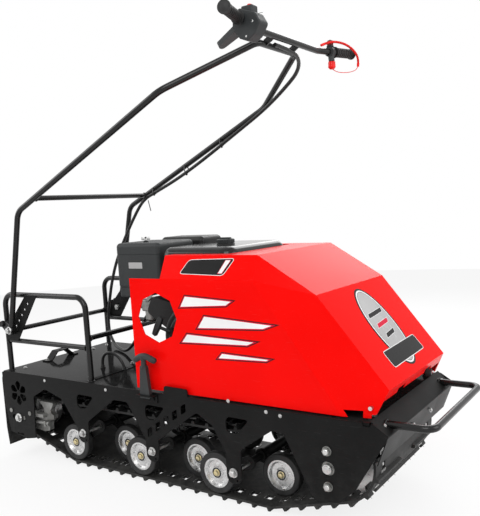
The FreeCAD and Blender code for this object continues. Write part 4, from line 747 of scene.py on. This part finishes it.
def makeFrontBadge():
    front = planeAt(badgeSizes["place"], (0, 1, 0), badgeSizes["slope"])
    raised = front @ moved(0, 0, filmSizes["thick"])
    patches = [ovalPatch(badgeSizes["width"], badgeSizes["height"],
                         [(badgeSizes["darkRing"], "filmDark"), (badgeSizes["whiteRing"], "filmWhite"),
                          (0.0016, "filmDark"), (0, "filmPale")], front, "badgeField")]
    for k in range(badgeSizes["bars"]):
        v = badgeSizes["barTop"] - badgeSizes["barStep"] * k
        reach = badgeSizes["barReach"] - badgeSizes["barShrink"] * k
        bar = [(-reach, v - 0.014), (reach - 0.012, v - 0.006), (reach, v + 0.012), (-reach + 0.012, v + 0.004)]
        patches.append(filmPatch(bar, [(0.0014, "filmWhite"), (0, "filmDark" if k != 1 else "filmGlow")], 0,
                                 raised, "badgeBar"))
    label = [(-0.129, -0.131), (0.14, -0.125), (0.136, -0.066), (-0.133, -0.071)]
    patches.append(filmPatch(label, [(0.0022, "filmWhite"), (badgeSizes["label"], "filmDark"), (0, "filmDark")], 0.01,
                             raised, "blankLabel"))
    laid(patches, "frontBadge")


makeSideGraphics()
makeShoulderLabels()
makeFrontBadge()
print("graphics laid on the hood")


# running gear: clips and nibs on the belt, hub caps, washers, thread ends
beltSizes = {"outerFace": -0.011, "innerFace": -0.019, "middle": -0.015, "teeth": 13, "driveRadius": 0.126,
             "clipRow": 0.193, "clipLength": 0.034, "clipWidth": 0.03, "clipSheet": 0.0014, "nibRadius": 0.0009,
             "nibLength": 0.0065, "nibSink": 0.0012, "nibStray": 0.002, "nibLean": 0.3, "nibLowest": 0.012}
nibRows = (-0.232, -0.142, -0.096, -0.05, 0.05, 0.096, 0.142, 0.232)
beltCircles = [(-0.822, 0.176, 0.09), (-0.555, 0.093, 0.093), (0.358, 0.093, 0.093), (0.608, 0.212, 0.141),
               (0.15, 0.966, -0.7)]


def tangentRun(first, second, offset):
    # the straight run from one circle to the next, with the angle it leaves at
    (xa, za, ra), (xb, zb, rb) = first, second
    ra, rb = ra + offset, rb + offset
    apart = Vector((xb - xa, zb - za))
    angle = math.atan2(apart.y, apart.x) - math.acos((ra - rb) / apart.length)
    out = Vector((math.cos(angle), math.sin(angle)))
    return Vector((xa, za)) + out * ra, Vector((xb, zb)) + out * rb, angle


def beltLine(offset, step=0.001):
    # points round the belt, close together, from the idler's foot forwards
    around = len(beltCircles)
    runs = [tangentRun(beltCircles[k], beltCircles[(k + 1) % around], offset) for k in range(around)]
    points = []
    for k, (start, end, angle) in enumerate(runs):
        count = int((end - start).length / step)
        points += [start.lerp(end, j / count) for j in range(count)]
        x, z, radius = beltCircles[(k + 1) % around]
        sweep = (runs[(k + 1) % around][2] - angle + math.pi) % (2 * math.pi) - math.pi
        if radius > 0 and sweep < 0:
            sweep += 2 * math.pi
        count = max(2, int(abs(sweep * (radius + offset)) / step))
        for j in range(count):
            turn = angle + sweep * j / count
            points.append(Vector((x, z)) + (radius + offset) * Vector((math.cos(turn), math.sin(turn))))
    return [Vector((point.x, 0, point.y)) for point in points]


def beltPlaces():
    # one place a pitch on the belt's middle line: X along, Y across, Z outwards
    line = beltLine(beltSizes["middle"])
    line.append(line[0])
    total = lengthOf(line)
    count = round(total / (2 * math.pi * beltSizes["driveRadius"] / beltSizes["teeth"]))
    places = []
    for k in range(count):
        middle, ahead = alongLine(line, k * total / count)
        places.append(moved(*middle) @ turnFrom(ahead, Vector((0, -1, 0)), Vector((ahead.z, 0, -ahead.x))))
    return places


def makeBeltClips():
    half, wide, sheet = beltSizes["clipLength"] / 2, beltSizes["clipWidth"] / 2, beltSizes["clipSheet"]
    top = beltSizes["outerFace"] - beltSizes["middle"]
    low = beltSizes["innerFace"] - beltSizes["middle"]
    clip = [boxBetween((-half, -wide, top), (half, wide, top + sheet), 0.0005, 1)]
    for side in (-1, 1):
        near, far = sorted((side * half, side * (half - sheet)))
        clip.append(boxBetween((near, -wide, low - 0.002), (far, wide, top + sheet * 0.6), 0.0003, 1))
    places = [place @ moved(0, row * beltSizes["clipRow"], 0) for place in beltPlaces() for row in (-1, 1)]
    spread(joined(clip, "clip"), places, "beltClips", "chassis", "zinc")


def makeNibs():
    radius, length = beltSizes["nibRadius"], beltSizes["nibLength"]
    stray, lean = beltSizes["nibStray"], beltSizes["nibLean"]
    clearSelection()
    bpy.ops.mesh.primitive_cone_add(vertices=5, radius1=radius, radius2=radius * 0.4, depth=length,
                                    location=(0, 0, length / 2))
    template = bpy.context.object
    places = []
    for place in beltPlaces():
        for row in nibRows:
            foot = place @ moved(random.uniform(-stray, stray), row, -beltSizes["middle"] - beltSizes["nibSink"])
            tilt = [Matrix.Rotation(random.uniform(-lean, lean), 4, axis) for axis in "XY"]
            if foot.translation.z > beltSizes["nibLowest"]:
                places.append(foot @ tilt[0] @ tilt[1])
    spread(template, places, "rubberNibs", "chassis", "beltRubber")


gearPlaces = {"pivots": ((-0.44, 0.166), (-0.0885, 0.151), (0.263, 0.136)), "outerBack": 0.115,
              "innerAhead": 0.095, "rollerZ": 0.093, "outerHubY": 0.246, "innerHubY": 0.166, "drive": (0.608, 0.212),
              "bearingBolt": 0.055, "idler": (-0.822, 0.176)}


def hubPlaces():
    places = []
    for x, _ in gearPlaces["pivots"]:
        for side in (-1, 1):
            for ahead, y in ((-gearPlaces["outerBack"], "outerHubY"), (gearPlaces["innerAhead"], "innerHubY")):
                places.append(placeAt((x + ahead, side * gearPlaces[y], gearPlaces["rollerZ"]), (0, side, 0)))
    return places


def makeHubCaps():
    # a pressed cap over each spindle's end, and the black seal round it
    cap = spunRing([(0, 0.0092), (0.004, 0.009), (0.0082, 0.008), (0.0092, 0.0066), (0.0094, 0.0016),
                    (0.0106, 0.0008), (0.0122, 0.0006), (0.0124, -0.0004), (0, -0.0004), (0, 0.0092)], 28)
    spread(cap, hubPlaces(), "rollerCaps", "chassis", "hubPassivated")
    seal = spunRing([(0.0132, 0.0004), (0.0142, 0.0012), (0.0172, 0.0012), (0.0186, 0.0002), (0.0186, -0.0006),
                     (0.0132, -0.0006), (0.0132, 0.0004)], 36)
    spread(seal, hubPlaces(), "hubSeals", "chassis", "tyreRubber")


# radius, length and distance from the middle of each thread end
threadEnds = {"pivot": (0.0082, 0.0052, 0.315), "axle": (0.0088, 0.0032, 0.3158), "bearing": (0.0076, 0.0036, 0.315)}


def makeThreadEnds():
    drive, bolt = gearPlaces["drive"], gearPlaces["bearingBolt"]
    spots = {"pivot": gearPlaces["pivots"], "axle": [gearPlaces["idler"]],
             "bearing": [(drive[0], drive[1] - bolt), (drive[0], drive[1] + bolt)]}
    tips = []
    for kind, (radius, length, y) in threadEnds.items():
        tips.append(copiesOf(threadedTip(radius, length), sidePlaces(spots[kind], y), "threads"))
    finished(joined(tips, "threadEnds"), "chassis", "zinc", 60)


makeBeltClips()
makeNibs()
makeHubCaps()
makeThreadEnds()
print("running gear dressed")


# frame: weld beads, rivets, deck, cover and bumper fasteners, rear flap strip
frameSizes = {"tube": 0.011, "bead": 0.0026, "rackY": 0.279, "rackX": (-0.875, -0.399), "deckTop": 0.369,
              "midRail": 0.497, "crossBar": 0.533, "plateY": 0.305, "weldReach": 0.86, "flapScrews": 7,
              "flapScrewEdge": 0.03}
plateRivets = [(0.258, 0.377), (0.401, 0.359), (0.452, 0.353), (-0.3, 0.352), (-0.64, 0.352), (-0.06, 0.352)]
deckBolts = [(-0.846, -0.235), (-0.846, 0.235), (-0.455, -0.235), (-0.455, 0.235), (-0.455, 0.0), (-0.846, 0.15)]


def makeWelds():
    inward = frameSizes["tube"] * frameSizes["weldReach"]
    places = []
    for x, turn in zip(frameSizes["rackX"], (1, -1)):
        for side in (-1, 1):
            y = side * frameSizes["rackY"]
            places.append(moved(x, y, frameSizes["deckTop"] + 0.0008))
            places.append(placeAt((x + turn * inward, y, frameSizes["midRail"]), (turn, 0, 0)))
            places.append(placeAt((x, y - side * inward, frameSizes["crossBar"]), (0, -side, 0)))
    spread(weldRing(frameSizes["tube"], frameSizes["bead"]), places, "frameWelds", "chassis", "tubeBlack", 60)


def makePlateRivets():
    rivet = spunRing([(0, 0.0034), (0.0022, 0.0032), (0.0042, 0.0022), (0.005, 0.0006), (0.0062, 0.0004),
                      (0.0062, -0.0003), (0, -0.0003), (0, 0.0034)], 20)
    spread(rivet, sidePlaces(plateRivets, frameSizes["plateY"]), "plateRivets", "chassis", "zinc")


def makeDeckBolts():
    places = [moved(x, y, frameSizes["deckTop"]) @ Matrix.Rotation(0.4 * k, 4, "Z")
              for k, (x, y) in enumerate(deckBolts)]
    low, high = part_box("tow_hitch")
    foot = 0.01
    places += [moved((low[0] + high[0]) / 2, y, low[2] + 0.005) for y in (low[1] + foot, high[1] - foot)]
    spread(boltSet(0.0058, 0.0042, 0.0012), places, "deckBolts", "chassis", "zinc", 25)


def makeBumperFixings():
    low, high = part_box("front_bumper")
    places = [placeAt((x, side * y, z), facet) for x, y, z, facet in
              ((0.7905, 0.08, 0.302, (0.91, 0, 0.41)), (0.7722, 0.262, 0.352, (0.72, 0, 0.69))) for side in (-1, 1)]
    spread(boltSet(0.0062, 0.0046, 0.0014), places, "coverBolts", "chassis", "zinc", 25)
    places = [placeAt((low[0] + 0.006, side * (high[1] - frameSizes["tube"]), (low[2] + high[2]) / 2), (1, 0, 0))
              for side in (-1, 1)]
    spread(weldRing(frameSizes["tube"], frameSizes["bead"]), places, "bumperWelds", "chassis", "tubeBlack", 60)


def makeFlapStrip():
    # the clamp strip that holds the rear flap, with its row of screws
    low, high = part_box("rear_panel")
    strip = boxBetween((low[0] - 0.0022, low[1] + 0.004, high[2] - 0.032),
                       (low[0] + 0.0004, high[1] - 0.004, high[2] - 0.01))
    strip.name = "flapStrip"
    finished(strip, "chassis", "powderBlack")
    reach, gaps = high[1] - frameSizes["flapScrewEdge"], frameSizes["flapScrews"] - 1
    places = [placeAt((low[0] - 0.002, -reach + 2 * reach * k / gaps, high[2] - 0.021), (-1, 0, 0))
              for k in range(gaps + 1)]
    crossScrews(0.0052, 0.003, places, "flapScrews", "chassis")


makeWelds()
makePlateRivets()
makeDeckBolts()
makeBumperFixings()
makeFlapStrip()
print("frame dressed")


# engine bay: screws, leads, linkages, seams and the plain label on the air cleaner
engineSizes = {"screw": 0.0042, "screwHigh": 0.0028, "labelWide": 0.036, "labelHigh": 0.013,
               "fanMiddle": (-0.006, 0.553), "fanBolts": 6, "fanRing": 0.112, "seamIn": 0.0042, "seamZ": 0.792}
guardScrews = [(0.033, 0.604), (0.16, 0.59), (0.3, 0.556), (0.44, 0.522), (0.3, 0.404), (0.15, 0.424)]


def makeCleanerTrim():
    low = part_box("air_cleaner")[0]
    wide, tall = engineSizes["labelWide"], engineSizes["labelHigh"]
    face = planeAt((-0.25, low[1] - 0.0001, 0.797), (1, 0, 0), (0, 0, 1))
    patch = filmPatch([(-wide, -tall), (wide, -tall), (wide, tall), (-wide, tall)],
                      [(0.0014, "filmDark"), (0, "filmPale")], 0.003, face, "cleanerLabel")
    laid([patch], "cleanerLabel", "chassis")


def makeWingNut():
    low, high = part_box("air_cleaner")
    nut = [crownedDisc(0.0058, 0.008, 0.0008, 20)]
    for near, far in ((-0.017, -0.004), (0.004, 0.017)):
        nut.append(boxBetween((near, -0.0014, 0.002), (far, 0.0014, 0.014), 0.0012, 3))
    place = moved((low[0] + high[0]) / 2, -0.094, 0.887) @ Matrix.Rotation(0.5, 4, "Z")
    single(joined(nut, "wingNut"), "wingNut", place, "chassis", "zinc")


def makeTankSeam():
    # rivets along the tank's flange and the gasket under its cap
    low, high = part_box("fuel_tank")
    inset, z = engineSizes["seamIn"], engineSizes["seamZ"]
    places = []
    for x in (low[0] + 0.06, (low[0] + high[0]) / 2, high[0] - 0.06):
        places += [moved(x, y, z) for y in (low[1] + inset, high[1] - inset)]
    for y in (-0.11, 0.0, 0.11):
        places += [moved(x, y, z) for x in (low[0] + inset, high[0] - inset)]
    rivet = spunRing([(0, 0.003), (0.0018, 0.0028), (0.0034, 0.0016), (0.004, -0.0004), (0, -0.0004), (0, 0.003)], 16)
    spread(rivet, places, "tankRivets", "chassis", "tankGloss")
    ring = spunRing([(0.0278, 0.0), (0.03, 0.0016), (0.0322, 0.0016), (0.0336, 0.0), (0.0336, -0.001),
                     (0.0278, -0.001), (0.0278, 0.0)], 48)
    single(ring, "fillerGasket", moved(0.08, -0.02, 0.865), "chassis", "tyreRubber")


def makeScrews():
    # cross-head screws on the fan cover, muffler guard and belt guard
    fanX, fanZ = engineSizes["fanMiddle"]
    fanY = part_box("fan_cover")[0][1] + 0.014
    places = []
    for k in range(engineSizes["fanBolts"]):
        turn = math.pi * (k / 3 + 1 / 6)
        places.append(placeAt((fanX + engineSizes["fanRing"] * math.cos(turn), fanY,
                               fanZ + engineSizes["fanRing"] * math.sin(turn)), (0, -1, 0)))
    for name, spots in (("muffler", [(x, z) for x in (-0.316, -0.126) for z in (0.74, 0.866)]),
                        ("belt_cover", guardScrews)):
        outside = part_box(name)[1][1] - 0.0004
        places += [placeAt((x, outside, z), (0, 1, 0)) for x, z in spots]
    crossScrews(engineSizes["screw"], engineSizes["screwHigh"], places, "engineScrews", "chassis")


# rigid runs that the engine carries: radius, finish, slot and route in millimetres
engineRuns = {
    "sparkLead": (0.0034, "sheathPlastic", "cable_sheath",
                  [(110, -40, 640), (128, -60, 668), (110, -92, 684), (50, -118, 682), (-20, -128, 668)]),
    "fuelPipe": (0.0042, "sheathPlastic", "cable_sheath",
                 [(-60, -150, 712), (-82, -158, 690), (-130, -156, 668), (-178, -146, 650), (-206, -136, 640)]),
    "governorRod": (0.0018, "zinc", "zinc_steel", [(-226, -142, 676), (-150, -150, 682), (-90, -150, 688)]),
}


def makeEngineRuns():
    for name, (radius, finish, slotName, route) in engineRuns.items():
        finished(tubeMesh(routeCurve(route, radius, 3), name), "chassis", finish, 60, slotName)
    boot = spunRing([(0, 0.03), (0.006, 0.03), (0.0085, 0.026), (0.009, 0.01), (0.012, 0.004), (0.012, -0.004),
                     (0, -0.004), (0, 0.03)], 24)
    single(boot, "plugBoot", placeAt((0.104, -0.034, 0.622), (0.25, -0.2, 0.95)), "chassis", "tyreRubber")


makeCleanerTrim()
makeWingNut()
makeTankSeam()
makeScrews()
makeEngineRuns()
print("engine bay dressed")


# handle: cable ties, casing screws, grip caps, weld beads at the lugs and knees
handleSizes = {"tube": 0.011, "tubeY": 0.311, "pivot": (-0.808, 0.548), "knee": (-0.697, 1.021),
               "upper": (0.064, 1.376), "cross": -0.594, "crossIn": 0.0095, "barMiddle": (0.36, 1.534),
               "barEnd": (0.404, 0.41, 1.544), "barBend": 0.218, "eyeRise": 0.0195, "boltEndY": 0.3326}
tieSizes = {"spots": (-0.14, -0.33, -0.52), "width": 0.0048, "thick": 0.0013, "headOut": 0.003}
switchY = 0.292


def slopeHeight(x):
    (kneeX, kneeZ), (upperX, upperZ) = handleSizes["knee"], handleSizes["upper"]
    return kneeZ + (x - kneeX) * (upperZ - kneeZ) / (upperX - kneeX)


def makeCableTies():
    tubeRadius, cableRadius = handleSizes["tube"], cordSizes["cableRadius"]
    (kneeX, kneeZ), (upperX, upperZ) = handleSizes["knee"], handleSizes["upper"]
    slope = Vector((upperX - kneeX, 0, upperZ - kneeZ)).normalized()
    ties = []
    for x in tieSizes["spots"]:
        cable = min(cableLine, key=lambda point: abs(point.x - x))
        apart = Vector((x, handleSizes["tubeY"], slopeHeight(x))) - cable
        apart -= slope * apart.dot(slope)
        reach = apart.length + tubeRadius + cableRadius
        centre = cable + apart * 0.5 + apart.normalized() * (tubeRadius - cableRadius) / 2
        band = strapRing((reach + 0.0006, 2 * tubeRadius + 0.0008), tieSizes["thick"], tieSizes["width"])
        band.matrix_world = moved(*centre) @ facing(slope, apart)
        head = boxBetween((-0.004, -0.0044, -0.0036), (0.004, 0.0044, 0.0036), 0.0009)
        tail = boxBetween((-0.0006, -0.002, -0.002), (0.0006, 0.01, 0.002), 0.0003, 1)
        for part in (head, tail):
            part.matrix_world = band.matrix_world @ moved(-reach / 2 - tieSizes["headOut"], 0, 0)
        ties += [band, head, tail]
    tail = boxBetween((-0.0022, -0.0007, -0.048), (0.0022, 0.0007, 0.002), 0.0004, 1)
    tail.matrix_world = moved(-0.556, 0.284, 1.044) @ Matrix.Rotation(-0.25, 4, "Y")
    finished(joined(ties + [tail], "cableTies"), "handle", "tieBlack")


def makeHandleWelds():
    cross, tubeY = handleSizes["cross"], handleSizes["tubeY"]
    places = [placeAt((cross, side * (tubeY - handleSizes["crossIn"]), slopeHeight(cross)), (0, -side, 0))
              for side in (-1, 1)]
    spread(weldRing(0.01, 0.0025), places, "handleWelds", "handle", "tubeBlack", 60)
    (pivotX, pivotZ), (kneeX, kneeZ) = handleSizes["pivot"], handleSizes["knee"]
    up = Vector((kneeX - pivotX, 0, kneeZ - pivotZ)).normalized()
    places = [placeAt(Vector((pivotX, side * tubeY, pivotZ)) + up * handleSizes["eyeRise"], up) for side in (-1, 1)]
    spread(weldRing(handleSizes["tube"], 0.0027), places, "eyeWelds", "handle", "tubeBlack", 60)
    places = sidePlaces([handleSizes["pivot"]], handleSizes["boltEndY"])
    spread(threadedTip(0.0078, 0.0042), places, "pivotBoltEnds", "handle", "zinc", 60)


def barWay(side):
    # the end of the handlebar on one side, and the way it points there
    endX, endY, endZ = handleSizes["barEnd"]
    end = Vector((endX, side * endY, endZ))
    bend = Vector((handleSizes["barMiddle"][0], side * handleSizes["barBend"], handleSizes["barMiddle"][1]))
    return end, (end - bend).normalized()


def makeGripCaps():
    # a shallow rounded button on the end of each grip
    cap = spunRing([(0, 0.003), (0.004, 0.0029), (0.0085, 0.002), (0.012, 0.0004), (0.014, 0.0002),
                    (0.0146, -0.0008), (0, -0.0008), (0, 0.003)], 32)
    places = [placeAt(end + way * 0.0042, way) for end, way in (barWay(-1), barWay(1))]
    spread(cap, places, "gripCaps", "handle", "gripRubber")


def makeCasingTrim():
    # cross-head screws, the seam and the red button of the throttle casing
    places = [placeAt((x, -0.3008, z), (0, -1, 0)) for x, z in ((0.381, 1.531), (0.424, 1.524), (0.4, 1.486))]
    crossScrews(0.0036, 0.0022, places, "casingScrews", "handle")
    seam = boxBetween((0.356, -0.2772, 1.548), (0.446, -0.276, 1.549), 0.0003, 1)
    finished(joined([seam], "casingSeam"), "handle", "shadeAndSeamBlack", slotName="black_plastic")
    button = spunRing([(0, 0.0062), (0.0045, 0.006), (0.0072, 0.0048), (0.008, 0.0), (0.008, -0.001), (0, -0.001),
                       (0, 0.0062)], 28)
    single(button, "switchButton", placeAt((0.402, -0.2765, 1.5748), (0.1, 0, 1)), "handle", "signalRed")


def makeSwitchTrim():
    # the collar over the stop switch and its dark red knob
    end, way = barWay(1)
    spot = end - way * ((end.y - switchY) / way.y)
    collar = spunRing([(0.012, 0.0), (0.0132, 0.001), (0.0132, 0.0034), (0.012, 0.0044), (0.01, 0.0044),
                       (0.01, 0.0), (0.012, 0.0)], 32)
    single(collar, "switchCollar", moved(*(spot + Vector((0, 0, 0.0176)))), "handle", "grainPlastic")
    knob = spunRing([(0, 0.015), (0.005, 0.0146), (0.0098, 0.0118), (0.0122, 0.007), (0.0126, 0.0), (0.0112, -0.006),
                     (0.009, -0.009), (0, -0.009), (0, 0.015)], 36)
    single(knob, "switchKnob", moved(*(spot + Vector((0, 0, 0.028)))), "handle", "darkRedPlastic")


makeCableTies()
makeHandleWelds()
makeGripCaps()
makeCasingTrim()
makeSwitchTrim()
print("handle dressed")


camera = {"place": (1.488, -1.9699, 0.9971), "ahead": (-0.54995, 0.82655, -0.11987),
          "up": (-0.02069, 0.12993, 0.9913), "lens": 46.07, "sensor": 36.0, "shift": (-0.0259, 0.0528)}


def makeCamera():
    clearSelection()
    bpy.ops.object.camera_add(location=camera["place"])
    eye = bpy.context.object
    ahead = Vector(camera["ahead"]).normalized()
    right = ahead.cross(Vector(camera["up"])).normalized()
    eye.matrix_world = moved(*camera["place"]) @ turnFrom(right, right.cross(ahead), -ahead)
    eye.data.lens = camera["lens"]
    eye.data.sensor_width = camera["sensor"]
    eye.data.shift_x, eye.data.shift_y = camera["shift"]
    bpy.context.scene.camera = eye


stage = {"floorSize": 14.0, "floorDrop": 0.0005, "floorTone": 0.96, "floorRough": 0.9, "floorWhite": 0.82,
         "worldTone": 0.56}


def makeFloor():
    clearSelection()
    bpy.ops.mesh.primitive_circle_add(vertices=64, radius=stage["floorSize"] / 2, fill_type="NGON",
                                      location=(0, 0, -stage["floorDrop"]))
    floor = bpy.context.object
    floor.name = "studioFloor"
    paint = bpy.data.materials.new("studioFloor")
    paint.use_nodes = True
    tree = paint.node_tree
    shader = tree.nodes["Principled BSDF"]
    shader.inputs["Base Color"].default_value = toned(stage["floorTone"])
    shader.inputs["Roughness"].default_value = stage["floorRough"]
    seen = wired(tree, "ShaderNodeLightPath").outputs["Is Camera Ray"]
    white = wired(tree, "ShaderNodeEmission", {"Color": toned(1), "Strength": 1.0}).outputs[0]
    lift = combine(tree, "MULTIPLY", seen, stage["floorWhite"])
    both = wired(tree, "ShaderNodeMixShader", {0: lift, 1: shader.outputs[0], 2: white})
    tree.links.new(both.outputs[0], tree.nodes["Material Output"].inputs[0])
    floor.data.materials.append(paint)


def makeWorld():
    # white wherever it is seen or mirrored, greyer as a light
    world = bpy.data.worlds.new("studio")
    bpy.context.scene.world = world
    world.use_nodes = True
    tree = world.node_tree
    back = tree.nodes["Background"]
    back.inputs["Color"].default_value = toned(stage["worldTone"])
    rays = wired(tree, "ShaderNodeLightPath").outputs
    seen = combine(tree, "MAXIMUM", rays["Is Camera Ray"], rays["Is Glossy Ray"])
    seen = combine(tree, "MAXIMUM", seen, rays["Is Transmission Ray"])
    white = wired(tree, "ShaderNodeBackground", {"Color": toned(1), "Strength": 1.0}).outputs[0]
    both = wired(tree, "ShaderNodeMixShader", {0: seen, 1: back.outputs[0], 2: white})
    tree.links.new(both.outputs[0], tree.nodes["World Output"].inputs[0])


# place, size and power of each soft lamp; all point at the aim
lampAim = (0, 0, 0.5)
lamps = {"keySoft": ((1.6, -3.2, 3.4), 2.6, 84.0), "fillSoft": ((-3.4, -1.6, 2.4), 2.4, 40.0),
         "frontSoft": ((3.6, 0.6, 2.0), 2.2, 42.0), "backSoft": ((-0.6, 3.2, 2.8), 2.4, 60.0)}


def makeLamps():
    for name, (place, size, power) in lamps.items():
        clearSelection()
        bpy.ops.object.light_add(type="AREA", location=place)
        lamp = bpy.context.object
        lamp.name = name
        lamp.data.size = size
        lamp.data.energy = power
        lamp.rotation_euler = (Vector(lampAim) - Vector(place)).to_track_quat("-Z", "Y").to_euler()


makeCamera()
makeFloor()
makeWorld()
makeLamps()
bpy.context.scene.view_settings.view_transform = "Standard"
print("stage, light and camera ready")
